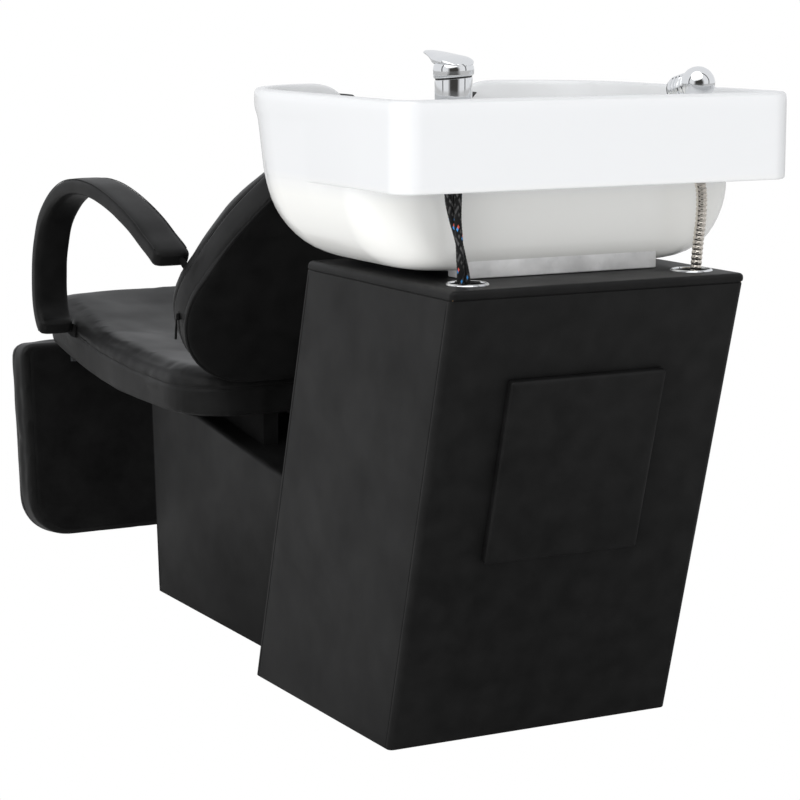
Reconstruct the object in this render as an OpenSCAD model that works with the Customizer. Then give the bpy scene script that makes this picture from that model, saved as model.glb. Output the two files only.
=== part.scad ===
// Shampoo backwash unit: a reclined seat on a plinth, joined to an upholstered
// pedestal that carries a tilting ceramic basin with a mixer tap and a hand shower.
// Millimetres. +Z is up, -Y is where the sitter faces, +X is the sitter's left.
// The origin is on the floor, under the middle of the whole unit.

/* [Overall] */
// Length from the front of the leg rest to the rear face of the basin
overall_l = 1510; // [1480:1:1540]
// Height of the floor glides
glide_h = 5; // [3:1:8]
// Thickness of the leatherette skin with its backing foam
skin = 3; // [2:0.5:4]

/* [Pedestal] */
// Width of the pedestal
ped_w = 440; // [430:1:460]
// Height of the pedestal
ped_h = 635; // [630:1:640]
// Depth of the pedestal's top
ped_top_d = 410; // [405:1:420]
// How far the rear face leans out from foot to top
ped_rear_lean = 170; // [165:1:175]
// How far the front face leans back from foot to top
ped_front_lean = 185; // [180:1:190]
// Thickness of the pedestal's boards
board = 16; // [15:0.5:18]
// Outer diameter of the chrome hose grommets
grommet_d = 56; // [54:1:60]
// Clear diameter of the hose grommets
grommet_hole_d = 44; // [42:1:46]

/* [Access panel] */
// Width of the access panel
access_w = 235; // [225:1:245]
// Height of the access panel
access_h = 259; // [250:1:268]
// How far the access panel stands proud
access_t = 12; // [11:0.5:14]

/* [Seat plinth] */
// Width of the plinth under the seat
base_w = 292; // [285:1:300]
// Thickness of the plinth's boards
base_board = 15; // [12:0.5:16]

/* [Seat] */
// Width of the seat
seat_w = 480; // [470:1:484]
// Y of the seat's rear edge
seat_rear = -22; // [-25:1:-20]
// Y of the seat's front edge
seat_front = -672; // [-675:1:-670]

/* [Backrest] */
// Recline of the backrest from the vertical, in degrees
recline = 28.4; // [28:0.1:29]
// Thickness of the whole backrest
back_t = 88; // [80:1:92]

/* [Armrests] */
// Width of an armrest
arm_w = 58; // [50:1:60]
// Thickness of an armrest seen from the side
arm_t = 27; // [24:1:32]
// Outer half-span across the two armrests
arm_span = 300; // [298:1:304]

/* [Leg rest] */
// Width of the leg rest
rest_w = 520; // [500:1:530]
// Height of the leg rest
rest_h = 338; // [330:1:342]
// Thickness of the leg rest
rest_t = 57; // [50:1:60]
// Angle by which the hanging leg rest is tucked back
rest_tuck = 5.2; // [4.8:0.1:5.6]

/* [Basin] */
// Width of the basin
basin_w = 590; // [588:1:592]
// Height of the basin's rim above the floor
rim_z = 870; // [869:1:872]
// Height of the tap deck
deck_z = 842; // [841:1:844]
// Lower edge of the band round the tap deck
band_z = 755; // [750:1:760]
// Radius of the neck notch
notch_r = 110; // [105:1:114]

/* [Water] */
// Diameter of the braided supply hoses
hose_d = 10; // [9:0.5:10]
// Diameter of the metal shower hose
shower_hose_d = 14; // [13:0.5:14]
// Diameter of the tap's body
tap_d = 48; // [46:1:49]
// Diameter of the hand shower's head
spray_d = 45; // [43:1:46]
// Outer diameter of the waste tail
waste_d = 40; // [38:1:40]

/* [Hidden] */
$fn = 64;

rear_y = overall_l / 2;
front_y = -overall_l / 2;

// Pedestal outline, seen from the side
ped_hw = ped_w / 2;
rear_angle = atan(ped_rear_lean / ped_h);
front_angle = atan(ped_front_lean / ped_h);
ped_foot = glide_h;
skin_foot = glide_h + 1;
top_under = ped_h - skin - board;
function rear_at(z) = rear_y - ped_rear_lean * (1 - z / ped_h);
function front_at(z) = rear_y - ped_top_d - ped_front_lean * (1 - z / ped_h);

// Waste, tap and shower positions
waste_y = rear_y - 260;
tap_pos = [184, rear_y - 65];
shower_pos = [-183, rear_y - 65];
grommet_l = [166, rear_y - 60];
grommet_r = [-175, rear_y - 60];
grommet_wall = 1.5;
waste_hole_r = 45;

// Access panel, in the rear face's own frame
access_mid = [-4.5, -254.5];
access_open = [180, 200];
peg_r = 5;
peg_dx = 104;
peg_dy = 115;

// Basin tilt axis
tilt_y = rear_y - 393;
tilt_z = 645;
tilt_pin_r = 4;
running = 0.05;

// Glue between boards and covering
film = 0.05;
recess_z = 654;

// Leg rest hinge
hinge_y = -686;
hinge_z = 398;
hinge_x = 150;
hinge_pin_r = 4;
rest_top = [front_y + rest_t * cos(rest_tuck), 388];

// Backrest frame: its rear face passes through this point
back_origin = [-5, 412];

// Routes of the hoses, from the tap or hand shower down
cold_route = [
    [178, 696, 805], [180, 698, 775], [183, 701, 745], [184, 702, 719], [182, 702, 694],
    [180, 701, 669], [178, 699, 644], [178, 692, 605], [176, 676, 560], [177, 660, 512],
    [181, 642, 465], [183, 631, 410], [181, 619, 355], [177, 606, 300], [174, 593, 250],
    [174, 580, 200], [176, 567, 150], [178, 555, 95]
];
hot_route = [
    [192, 693, 805], [193, 694, 775], [193, 694, 745], [185, 690, 719], [177, 690, 694],
    [171, 691, 669], [167, 694, 644], [163, 692, 605], [146, 676, 560], [133, 661, 512],
    [128, 644, 465], [126, 631, 410], [127, 619, 355], [129, 605, 300], [132, 591, 250],
    [135, 577, 200], [137, 563, 150], [138, 550, 95]
];
mixed_route = [
    [184, 681, 805], [182, 682, 775], [179, 682, 745], [174, 679, 719], [170, 679, 694],
    [167, 680, 669], [165, 682, 644], [158, 681, 605], [136, 662, 560], [114, 648, 512],
    [101, 637, 475], [96, 632, 450], [96, 622, 400]
];
shower_route = [
    [-183, 690, 762], [-188, 695, 742], [-188, 696, 707], [-185, 695, 673], [-182, 695, 638],
    [-181, 692, 595], [-183, 684, 550], [-187, 670, 500], [-190, 655, 450], [-191, 640, 400],
    [-190, 625, 350], [-188, 611, 300], [-184, 597, 250], [-177, 583, 200], [-165, 570, 155],
    [-146, 559, 115], [-121, 551, 84], [-91, 546, 64], [-58, 544, 55], [-25, 544, 58],
    [5, 546, 67], [33, 549, 84], [58, 553, 108], [76, 559, 139], [87, 567, 176],
    [92, 577, 215], [95, 588, 255], [96, 599, 295], [96, 609, 335], [96, 616, 370]
];
nut_len = 22;
coupling_len = 30.6;

// ---- shared shapes ----

// A plate drawn in the side view (Y, Z), reaching from x0 to x1
module side_plate(points, x0, x1) {
    translate([x0, 0, 0]) rotate([90, 0, 90]) linear_extrude(x1 - x0) polygon(points);
}

module both_sides() {
    children();
    mirror([1, 0, 0]) children();
}

function arc(c, r, a0, a1, n) = [for (i = [0:n]) let (a = a0 + (a1 - a0) * i / n)
    [c[0] + r * cos(a), c[1] + r * sin(a)]];

// Rounded rectangle seen from above: rf and rr are the front and rear corner radii
function outline(hw, yf, yr, rf, rr, n = 7) = concat(
    arc([hw - rr, yr - rr], rr, 0, 90, n),
    arc([-hw + rr, yr - rr], rr, 90, 180, n),
    arc([-hw + rf, yf + rf], rf, 180, 270, n),
    arc([hw - rf, yf + rf], rf, 270, 360, n));

function level(row) = [for (p = outline(row[1], row[2], row[3], row[4], row[5]))
    [p[0], p[1], row[0]]];

// Skin between rings that all have the same number of points, closed at both ends
module skinned(rings) {
    n = len(rings[0]);
    m = len(rings);
    points = [for (ring = rings) each ring];
    sides = [for (k = [0:m - 2], i = [0:n - 1])
        [k * n + i, (k + 1) * n + i, (k + 1) * n + (i + 1) % n, k * n + (i + 1) % n]];
    first = [for (i = [0:n - 1]) i];
    last = [for (i = [n - 1:-1:0]) (m - 1) * n + i];
    polyhedron(points = points, faces = concat([first], sides, [last]), convexity = 6);
}

function unit(v) = v / norm(v);
function heading(path, i) = unit(path[min(i + 1, len(path) - 1)] - path[max(i - 1, 0)]);

// A section carried along a path; ref never lies along the path
function carried(path, section, ref) = [for (i = [0:len(path) - 1])
    let (t = heading(path, i), w = unit(cross(t, ref)), u = cross(w, t))
    [for (s = section) path[i] + s[0] * u + s[1] * w]];

function round_section(d, n) = [for (i = [0:n - 1]) let (a = 360 * i / n)
    [d / 2 * cos(a), -d / 2 * sin(a)]];

module hose(route, d, sides) {
    skinned(carried(route, round_section(d, sides), [0, 1, 0]));
}

// A straight fitting of several coaxial steps on the last stretch of a route
module at_end(path) {
    tip = path[len(path) - 1];
    t = heading(path, len(path) - 1);
    translate(tip) rotate([0, acos(t[2]), atan2(t[1], t[0])]) children();
}

// ---- pedestal ----

function ped_slab(front_in, rear_in, z0, z1) = [
    [front_at(z0) + front_in / cos(front_angle), z0],
    [rear_at(z0) - rear_in / cos(rear_angle), z0],
    [rear_at(z1) - rear_in / cos(rear_angle), z1],
    [front_at(z1) + front_in / cos(front_angle), z1]];

module on_rear_face() {
    translate([0, rear_y, ped_h]) rotate([-rear_angle, 0, 0]) rotate([90, 0, 180]) children();
}

module access_hole() {
    on_rear_face() translate([access_mid[0], access_mid[1], -30])
        translate([-access_open[0] / 2, -access_open[1] / 2, 0])
            cube([access_open[0], access_open[1], 40]);
}

module peg_holes(r) {
    on_rear_face() for (sx = [-1, 1], sy = [-1, 1])
        translate([access_mid[0] + sx * peg_dx, access_mid[1] + sy * peg_dy, -30])
            cylinder(r = r, h = 40);
}

module top_holes(r) {
    for (g = [grommet_l, grommet_r])
        translate([g[0], g[1], ped_h - 40]) cylinder(r = r, h = 60);
    translate([0, waste_y, ped_h - 40]) cylinder(r = waste_hole_r, h = 60);
}

module pedestal_side() {
    color("saddlebrown") side_plate(ped_slab(skin, skin, ped_foot, ped_h - skin),
        ped_hw - skin - board, ped_hw - skin);
}

module pedestal_left_panel() {
    pedestal_side();
}

module pedestal_right_panel() {
    mirror([1, 0, 0]) pedestal_side();
}

module pedestal_front_panel() {
    inner = ped_hw - skin - board;
    t = skin + board;
    color("saddlebrown") side_plate([
        [front_at(ped_foot) + (skin + film) / cos(front_angle), ped_foot],
        [front_at(ped_foot) + t / cos(front_angle), ped_foot],
        [front_at(top_under) + t / cos(front_angle), top_under],
        [front_at(top_under) + (skin + film) / cos(front_angle), top_under]], -inner, inner);
}

module pedestal_rear_panel() {
    inner = ped_hw - skin - board;
    t = skin + board;
    color("saddlebrown") difference() {
        side_plate([
            [rear_at(ped_foot) - (skin + film) / cos(rear_angle), ped_foot],
            [rear_at(ped_foot) - t / cos(rear_angle), ped_foot],
            [rear_at(top_under) - t / cos(rear_angle), top_under],
            [rear_at(top_under) - (skin + film) / cos(rear_angle), top_under]], -inner, inner);
        access_hole();
        peg_holes(peg_r + running);
    }
}

module pedestal_top_board() {
    inner = ped_hw - skin - board;
    color("saddlebrown") difference() {
        side_plate(ped_slab(skin, skin, top_under, ped_h - skin), -inner, inner);
        top_holes(grommet_hole_d / 2 + grommet_wall);
    }
}

module pedestal_floor_frame() {
    inner = ped_hw - skin - board;
    t = skin + board;
    rail = 40;
    color("saddlebrown") difference() {
        side_plate(ped_slab(t, t, ped_foot, ped_foot + 18), -inner, inner);
        translate([-inner + rail, front_at(0) + t + rail, 0])
            cube([2 * (inner - rail), ped_top_d - 2 * (t + rail), 40]);
    }
}

module pedestal_cover() {
    color([0.13, 0.13, 0.13]) difference() {
        side_plate(ped_slab(0, 0, skin_foot, ped_h), -ped_hw, ped_hw);
        side_plate(ped_slab(skin, skin, 0, ped_h - skin), -ped_hw + skin, ped_hw - skin);
        top_holes(grommet_hole_d / 2 + grommet_wall);
        access_hole();
        peg_holes(peg_r + running);
    }
}

module grommet(pos) {
    lip = 2.5;
    color("silver") translate([pos[0], pos[1], ped_h]) difference() {
        union() {
            cylinder(d = grommet_d, h = lip);
            translate([0, 0, -skin - board]) cylinder(d = grommet_hole_d + 2 * grommet_wall - 0.1, h = skin + board + lip);
        }
        translate([0, 0, -30]) cylinder(d = grommet_hole_d, h = 40);
    }
}

module hose_grommet_left() {
    grommet(grommet_l);
}

module hose_grommet_right() {
    grommet(grommet_r);
}

module access_panel_board() {
    rim = 5;
    color("saddlebrown") on_rear_face() translate([access_mid[0], access_mid[1], 0.5])
        translate([-access_w / 2 + rim, -access_h / 2 + rim, 0])
            cube([access_w - 2 * rim, access_h - 2 * rim, 8]);
}

module access_panel_pad() {
    rim = 5;
    color([0.12, 0.12, 0.12]) on_rear_face() translate([access_mid[0], access_mid[1], 0.5])
        difference() {
            translate([-access_w / 2, -access_h / 2, 0])
                cube([access_w, access_h, access_t - 0.5]);
            translate([-access_w / 2 + rim, -access_h / 2 + rim, -1])
                cube([access_w - 2 * rim, access_h - 2 * rim, 9]);
        }
}

module access_panel_pegs() {
    color("white") on_rear_face() for (sx = [-1, 1], sy = [-1, 1])
        translate([access_mid[0] + sx * peg_dx, access_mid[1] + sy * peg_dy, -14])
            cylinder(r = peg_r, h = 14.5);
}

// ---- plinth under the seat ----

base_hw = base_w / 2;
base_front = [[-392, skin_foot], [-413, 327]];
base_knee = [-216, 329];
base_slope = 45 / 315;
function base_front_at(z) = base_front[1][0] + (base_front[1][1] - z)
    * (base_front[0][0] - base_front[1][0]) / (base_front[1][1] - base_front[0][1]);
function base_top(y) = base_knee[1] - (y - base_knee[0]) * base_slope;
base_end_z = (base_knee[1] - (front_at(0) - base_knee[0]) * base_slope)
    / (1 + base_slope * ped_front_lean / ped_h);

function base_outline(inset, foot) = [
    [base_front[0][0] + inset, foot], [front_at(foot), foot],
    [front_at(base_end_z - inset), base_end_z - inset],
    [base_knee[0], base_knee[1] - inset], [base_front[1][0] + inset, base_front[1][1] - inset]];

module base_cover() {
    color([0.13, 0.13, 0.13]) difference() {
        side_plate(base_outline(0, skin_foot), -base_hw, base_hw);
        side_plate([[base_front[0][0] + skin, 0], [front_at(0) + 60, 0],
            [front_at(base_end_z) + 10, base_top(front_at(base_end_z) + 10) - skin],
            [base_knee[0], base_knee[1] - skin],
            [base_front[1][0] + skin, base_front[1][1] - skin]],
            -base_hw + skin, base_hw - skin);
    }
}

module base_side() {
    color("saddlebrown") side_plate(base_outline(skin, ped_foot),
        base_hw - skin - base_board, base_hw - skin);
}

module base_left_panel() {
    base_side();
}

module base_right_panel() {
    mirror([1, 0, 0]) base_side();
}

module base_front_panel() {
    inner = base_hw - skin - base_board;
    under = base_front[1][1] - skin - base_board;
    color("saddlebrown") side_plate([
        [base_front[0][0] + skin, ped_foot], [base_front[0][0] + skin + base_board, ped_foot],
        [base_front[1][0] + skin + base_board + 1, under], [base_front[1][0] + skin + 1, under]],
        -inner, inner);
}

module base_top_board() {
    inner = base_hw - skin - base_board;
    t = skin + base_board;
    color("saddlebrown") side_plate([
        [base_front_at(base_front[1][1] - t) + skin, base_front[1][1] - t],
        [base_front_at(base_front[1][1] - skin) + skin, base_front[1][1] - skin - film],
        [base_knee[0], base_knee[1] - skin - film],
        [front_at(base_end_z - t), base_top(front_at(base_end_z - t)) - skin - film],
        [front_at(base_end_z - t), base_top(front_at(base_end_z - t)) - t],
        [base_knee[0], base_knee[1] - t]], -inner, inner);
}

module floor_glides() {
    color("dimgray") both_sides() {
        for (p = [[190, 200], [190, 540], [128, -370], [128, -120], [128, 120]])
            translate([p[0], p[1], 0]) cylinder(r = 8, h = glide_h);
    }
}

module joining_bolts() {
    x = base_hw - skin - base_board / 2;
    color("silver") both_sides() for (z = [70, 200])
        translate([x, front_at(z), z]) rotate([90, 0, 0]) {
            translate([0, 0, -24]) cylinder(r = 4, h = 74);
            translate([0, 0, -30]) cylinder(r = 8, h = 6);
        }
}

// ---- seat ----

seat_hw = seat_w / 2;
board_t = 12;
seat_under = 360;
seat_tip_z = 414;
seat_bend = [[-330, 363], [-470, 378.5]];
function along_line(a, b, y) = a[1] + (b[1] - a[1]) * (y - a[0]) / (b[0] - a[0]);
function under_seat(y) = y > seat_bend[0][0] ? along_line([-30, seat_under], seat_bend[0], y)
    : y > seat_bend[1][0] ? along_line(seat_bend[0], seat_bend[1], y)
    : along_line(seat_bend[1], [-664, seat_tip_z], y);

module seat_risers() {
    color([0.1, 0.1, 0.1]) both_sides() side_plate([
        [-400, base_front[1][1] + 0.2], [base_knee[0], base_knee[1]], [-40, base_top(-40)],
        [-40, under_seat(-40)], seat_bend[0], [-400, under_seat(-400)]], 85, 110);
}

module seat_board() {
    color("burlywood") intersection() {
        linear_extrude(600) polygon(outline(seat_hw - 6, seat_front + 8, seat_rear - 8, 55, 95));
        side_plate([[-30, seat_under], seat_bend[0], seat_bend[1], [-664, seat_tip_z],
            [-664, seat_tip_z + board_t], seat_bend[1] + [0, board_t],
            seat_bend[0] + [0, board_t], [-30, seat_under + board_t]], -seat_hw, seat_hw);
    }
}

module seat_cushion() {
    tip_z = under_seat(seat_front) + board_t;
    color([0.2, 0.2, 0.2]) intersection() {
        linear_extrude(600) polygon(outline(seat_hw, seat_front, seat_rear, 60, 100));
        side_plate([[seat_rear, seat_under + board_t], seat_bend[0] + [0, board_t],
            seat_bend[1] + [0, board_t],
            [seat_front, tip_z], [seat_front, 462], [-640, 474], [-560, 455], [-400, 434],
            [-250, 428], [-60, 424], [seat_rear, 405]], -seat_hw, seat_hw);
    }
}

// ---- backrest ----

module on_backrest() {
    translate([0, back_origin[0], back_origin[1]]) rotate([90 - recline, 0, 0]) children();
}

// Egg-shaped outline, wide at the hips and narrow at the neck
module back_shape(inset) {
    hull() for (s = [-1, 1]) {
        translate([s * 147, 130]) circle(r = 130 - inset);
        translate([s * 62, 288]) circle(r = 124 - inset);
    }
}

module backrest_rear_pad() {
    color([0.07, 0.07, 0.07]) on_backrest() linear_extrude(6) back_shape(0);
}

module backrest_board() {
    color("burlywood") on_backrest() translate([0, 0, 6]) linear_extrude(board_t) back_shape(6);
}

module backrest_cushion() {
    color([0.2, 0.2, 0.2]) on_backrest() {
        translate([0, 0, 6 + board_t]) linear_extrude(32) back_shape(0);
        translate([0, 0, 38 + board_t]) linear_extrude(back_t - 38 - board_t) back_shape(25);
    }
}

module backrest_brackets() {
    t = 5;
    lift = back_origin[1] + 12;
    up = 200;
    c = cos(90 - recline);
    s = sin(90 - recline);
    base = [back_origin[0] + 12 * c / s, lift];
    top = [back_origin[0] + up * c, back_origin[1] + up * s];
    color("dimgray") both_sides() side_plate([
        [-120, under_seat(-120) - t], [base[0] + t / s, under_seat(-40) - t],
        [base[0] + t / s, lift], [top[0] + t * s, top[1] - t * c], top, base,
        [base[0], under_seat(-40)], [-120, under_seat(-120)]], 40, 75);
}

module backrest_bolts() {
    color("silver") both_sides() on_backrest() for (y = [60, 170])
        translate([57, y, -9]) {
            cylinder(r = 7, h = 4);
            cylinder(r = 3, h = 26);
        }
}

module zip_slider() {
    color("silver") on_backrest() translate([277, 118, 27]) {
        cube([2.5, 10, 6]);
        translate([0.5, -20, 1.5]) cube([1.5, 20, 3.5]);
    }
}

// ---- armrests ----

arm_x = arm_span - arm_w / 2;
arm_route = [
    [arm_x, -508, 440], [arm_x, -523, 446], [arm_x, -534, 459], [arm_x, -541, 477],
    [arm_x, -544, 501], [arm_x, -543, 527], [arm_x, -539, 558], [arm_x, -527, 590],
    [arm_x, -509, 621], [arm_x, -479, 647], [arm_x, -443, 668], [arm_x, -397, 684],
    [arm_x, -338, 691], [arm_x, -273, 688], [arm_x, -210, 677], [arm_x, -153, 662],
    [arm_x, -103, 645], [arm_x, -62, 627], [arm_x, -30, 614], [arm_x, -7, 602]];

// Rounded rectangle across the arm
function arm_section() = [for (i = [0:11]) let (a = 30 * i + 15, c = cos(a), s = sin(a))
    [arm_w / 2 * sign(c) * pow(abs(c), 0.6), -arm_t / 2 * sign(s) * pow(abs(s), 0.6)]];

module armrest_left() {
    color([0.1, 0.1, 0.1]) skinned(carried(arm_route, arm_section(), [1, 0, 0]));
}

module armrest_right() {
    color([0.1, 0.1, 0.1]) mirror([1, 0, 0])
        skinned(carried(arm_route, arm_section(), [1, 0, 0]));
}

module armrest_plates() {
    gap = arm_span - arm_w;
    color("dimgray") both_sides() {
        translate([seat_hw, -540, 424]) cube([gap - seat_hw, 36, 22]);
        translate([seat_hw - 30, -522, 436]) rotate([0, 90, 0]) cylinder(r = 4, h = 50);
        on_backrest() translate([arm_x - 14, 167, 8]) cylinder(r = 5, h = 95);
    }
}

// ---- leg rest ----

module on_leg_rest() {
    translate([0, rest_top[0], rest_top[1]]) rotate([90 + rest_tuck, 0, 0]) children();
}

module rest_shape(inset) {
    translate([0, -rest_h / 2]) polygon(outline(rest_w / 2 - inset, -rest_h / 2 + inset,
        rest_h / 2 - inset, 70 - inset, 22 - inset));
}

module leg_rest_board() {
    color("black") on_leg_rest() linear_extrude(board_t) rest_shape(4);
}

module leg_rest_cushion() {
    color([0.18, 0.18, 0.18]) on_leg_rest() difference() {
        linear_extrude(rest_t) rest_shape(0);
        translate([0, 0, -1]) linear_extrude(board_t + 1) rest_shape(4);
    }
}

// Hinge position in the leg rest's own frame: along it and away from its rear face
hinge_dy = hinge_y - rest_top[0];
hinge_dz = hinge_z - rest_top[1];
hinge_up = -hinge_dy * sin(rest_tuck) + hinge_dz * cos(rest_tuck);
hinge_out = hinge_dy * cos(rest_tuck) + hinge_dz * sin(rest_tuck);

module leg_rest_arms() {
    ear = 8;
    color("silver") both_sides() on_leg_rest() {
        difference() {
            translate([hinge_x, 0, 0]) rotate([0, 90, 0]) linear_extrude(3) union() {
                polygon([[0, -30], [hinge_out + ear, -10], [hinge_out + ear, hinge_up],
                    [hinge_out - ear + 3, hinge_up + 3], [0, -5]]);
                translate([hinge_out, hinge_up]) circle(r = ear);
            }
            translate([hinge_x - 1, hinge_up, -hinge_out]) rotate([0, 90, 0])
                cylinder(r = hinge_pin_r, h = 5);
        }
        translate([hinge_x, -34, -2]) cube([30, 27, 2]);
    }
}

module leg_rest_pins() {
    color("silver") both_sides() translate([hinge_x - 8, hinge_y, hinge_z])
        rotate([0, 90, 0]) cylinder(r = hinge_pin_r, h = 13);
}

module leg_rest_hinge_plates() {
    color("silver") both_sides() {
        difference() {
            side_plate([[-560, under_seat(-560)], [-650, under_seat(-650)], [-692, 406],
                [-695, 398], [-692, 390], [-640, 384], [-560, 376]],
                hinge_x - 4, hinge_x - 1);
            translate([hinge_x - 5, hinge_y, hinge_z]) rotate([0, 90, 0])
                cylinder(r = hinge_pin_r + running, h = 5);
        }
        side_plate([[-560, under_seat(-560)], [-650, under_seat(-650)],
            [-650, under_seat(-650) - 2.5], [-560, under_seat(-560) - 2.5]],
            hinge_x - 34, hinge_x - 4);
    }
}

// ---- basin ----

basin_hw = basin_w / 2;
deck_under = 832;
// Height, half-width, front, rear, front corner radius, rear corner radius
bowl_outside = [
    [646, 195, 340, 632, 120, 50], [651, 226, 316, 645, 140, 60], [664, 252, 290, 653, 155, 66],
    [690, 275, 260, 655, 165, 68], [725, 285, 238, 655, 170, 66], [765, 289, 221, 655, 172, 66],
    [842, 290, 206, 655, 175, 66], [846, basin_hw, 199, 655, 178, 60],
    [rim_z, basin_hw, 199, 655, 178, 60]];
bowl_inside = [
    [663, 150, 385, 575, 90, 60], [668, 196, 345, 603, 115, 70], [682, 232, 308, 620, 135, 74],
    [710, 260, 272, 631, 150, 74], [760, 274, 240, 633, 158, 70], [830, 277, 222, 634, 162, 64],
    [rim_z + 1, 278, 217, 634, 165, 62]];

module basin_solid() {
    difference() {
        union() {
            difference() {
                translate([0, 0, band_z]) linear_extrude(rim_z - band_z)
                    polygon(outline(basin_hw, 570, rear_y, 2, 32));
                translate([0, 0, band_z - 1]) linear_extrude(deck_under - band_z + 1)
                    polygon(outline(basin_hw - 11, 560, rear_y - 11, 2, 22));
            }
            skinned([for (row = bowl_outside) level(row)]);
        }
        skinned([for (row = bowl_inside) level(row)]);
        translate([0, 0, deck_z]) linear_extrude(rim_z - deck_z + 1)
            polygon(outline(basin_hw - 14, 600, rear_y - 14, 2, 20));
    }
}

module basin() {
    color("white") difference() {
        basin_solid();
        translate([0, 300, rim_z + 35]) rotate([90, 0, 0]) cylinder(r = notch_r, h = 120);
        translate([tap_pos[0], tap_pos[1], deck_under - 1]) cylinder(r = 17, h = 20);
        translate([shower_pos[0], shower_pos[1], deck_under - 1]) cylinder(r = 18, h = 20);
        translate([0, waste_y, 640]) cylinder(r = 23, h = 40);
        translate([-125, 345, 640]) cube([250, 252, recess_z - 640]);
    }
}

module neck_rest() {
    t = 7;
    color([0.08, 0.08, 0.08]) intersection() {
        translate([0, 252, rim_z + 35]) rotate([90, 0, 0]) difference() {
            cylinder(r = notch_r, h = 57);
            translate([0, 0, -1]) cylinder(r = notch_r - t, h = 59);
        }
        translate([-200, 150, 700]) cube([400, 150, rim_z + 1 - 700]);
    }
}

module basin_saddle() {
    color("white") difference() {
        translate([-137, 630, ped_h + 0.5]) cube([274, 42, 40]);
        skinned([for (row = bowl_outside) level(row)]);
    }
}

module tilt_base_plate() {
    t = 3;
    color("silver") difference() {
        union() {
            translate([-115, tilt_y - 4, ped_h]) cube([230, 232, t]);
            both_sides() translate([30, tilt_y, 0]) {
                translate([0, -5, ped_h]) cube([26, 10, tilt_z - ped_h]);
                translate([0, 0, tilt_z]) rotate([0, 90, 0]) cylinder(r = 7, h = 26);
            }
        }
        translate([0, waste_y, ped_h - 1]) cylinder(r = waste_hole_r, h = 10);
        translate([-70, tilt_y, tilt_z]) rotate([0, 90, 0]) cylinder(r = tilt_pin_r, h = 140);
    }
}

module tilt_pin() {
    color("silver") translate([-58, tilt_y, tilt_z]) rotate([0, 90, 0])
        cylinder(r = tilt_pin_r, h = 116);
}

module tilt_top_plate() {
    color("silver") difference() {
        union() {
            translate([-110, tilt_y + 10, recess_z - 4]) cube([220, 208, 4]);
            translate([-28, tilt_y, tilt_z]) rotate([0, 90, 0]) cylinder(r = 6.5, h = 56);
            translate([-28, tilt_y, tilt_z]) cube([56, 14, recess_z - tilt_z]);
        }
        translate([0, waste_y, 630]) cylinder(r = waste_hole_r, h = 40);
        translate([-70, tilt_y, tilt_z]) rotate([0, 90, 0])
            cylinder(r = tilt_pin_r + running, h = 140);
    }
}

// ---- waste ----

module waste_flange() {
    color("silver") translate([0, waste_y, 0]) difference() {
        union() {
            translate([0, 0, 663]) cylinder(r = 35, h = 2.5);
            translate([0, 0, 628]) cylinder(r = 22, h = 37.5);
        }
        translate([0, 0, 620]) cylinder(r = 19, h = 50);
    }
}

module waste_nut() {
    color("silver") translate([0, waste_y, 641]) difference() {
        cylinder(r = 30, h = 12.9, $fn = 8);
        translate([0, 0, -1]) cylinder(r = 22, h = 20);
    }
}

module waste_tail() {
    color("silver") translate([0, waste_y, 560]) difference() {
        cylinder(d = waste_d, h = 68);
        translate([0, 0, -1]) cylinder(d = waste_d - 4, h = 70);
    }
}

module strainer() {
    color("silver") translate([0, waste_y, 0]) difference() {
        union() {
            translate([0, 0, 665.8]) cylinder(r = 29, h = 2.2);
            translate([0, 0, 656]) cylinder(r = 18, h = 10);
        }
        translate([0, 0, 655]) cylinder(r = 16, h = 10.8);
        for (ring = [[6, 6], [12, 12]], i = [0:ring[1] - 1])
            rotate([0, 0, 360 * i / ring[1]]) translate([ring[0], 0, 660]) cylinder(r = 1.8, h = 12);
    }
}

// ---- tap ----

tap_h = 49;
seal_t = 2;

module at_tap() {
    translate([tap_pos[0], tap_pos[1], 0]) children();
}

module tap_seal() {
    color("black") at_tap() translate([0, 0, deck_z]) difference() {
        cylinder(r = tap_d / 2 + 1, h = seal_t);
        translate([0, 0, -1]) cylinder(r = 14, h = seal_t + 2);
    }
}

module tap_body() {
    color("silver") at_tap() {
        translate([0, 0, deck_z + seal_t]) cylinder(d = tap_d, h = tap_h);
        translate([0, 0, deck_z + seal_t + tap_h]) cylinder(r = 19, h = 3);
        translate([0, 0, 806]) cylinder(r = 14, h = deck_z + seal_t - 806);
    }
}

module tap_lock_nut() {
    color("goldenrod") at_tap() translate([0, 0, deck_under - 11]) difference() {
        cylinder(r = 22, h = 11, $fn = 6);
        translate([0, 0, -1]) cylinder(r = 14, h = 13);
    }
}

module tap_spindle() {
    color("silver") at_tap() translate([0, 0, deck_z + seal_t + tap_h + 3.3]) cylinder(r = 5, h = 8);
}

module tap_lever() {
    hub_r = tap_d / 2 + 1;
    foot = deck_z + seal_t + tap_h + 1.5;
    color("silver") at_tap() {
        difference() {
            translate([0, 0, foot]) cylinder(r = hub_r, h = 17);
            translate([0, 0, foot - 1]) cylinder(r = hub_r - 3, h = 13);
        }
        hull() {
            translate([0, 0, foot + 16]) cylinder(r = hub_r, h = 5, $fn = 32);
            translate([0, -72, foot + 31]) cylinder(r = 13, h = 6, $fn = 32);
        }
    }
}

// ---- hand shower ----

module at_shower() {
    translate([shower_pos[0], shower_pos[1], 0]) children();
}

spray_z = 880;
spray_dip = 15;

module shower_holder() {
    color("silver") at_shower() difference() {
        union() {
            translate([0, 0, deck_z]) cylinder(r = 23, h = 4);
            translate([0, 0, deck_under - 8]) cylinder(r = 17.5, h = 20);
        }
        translate([0, 0, deck_under - 10]) cylinder(r = 14.5, h = 40);
    }
}

barrel_len = 42;
barrel_d = spray_d - 9;

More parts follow.
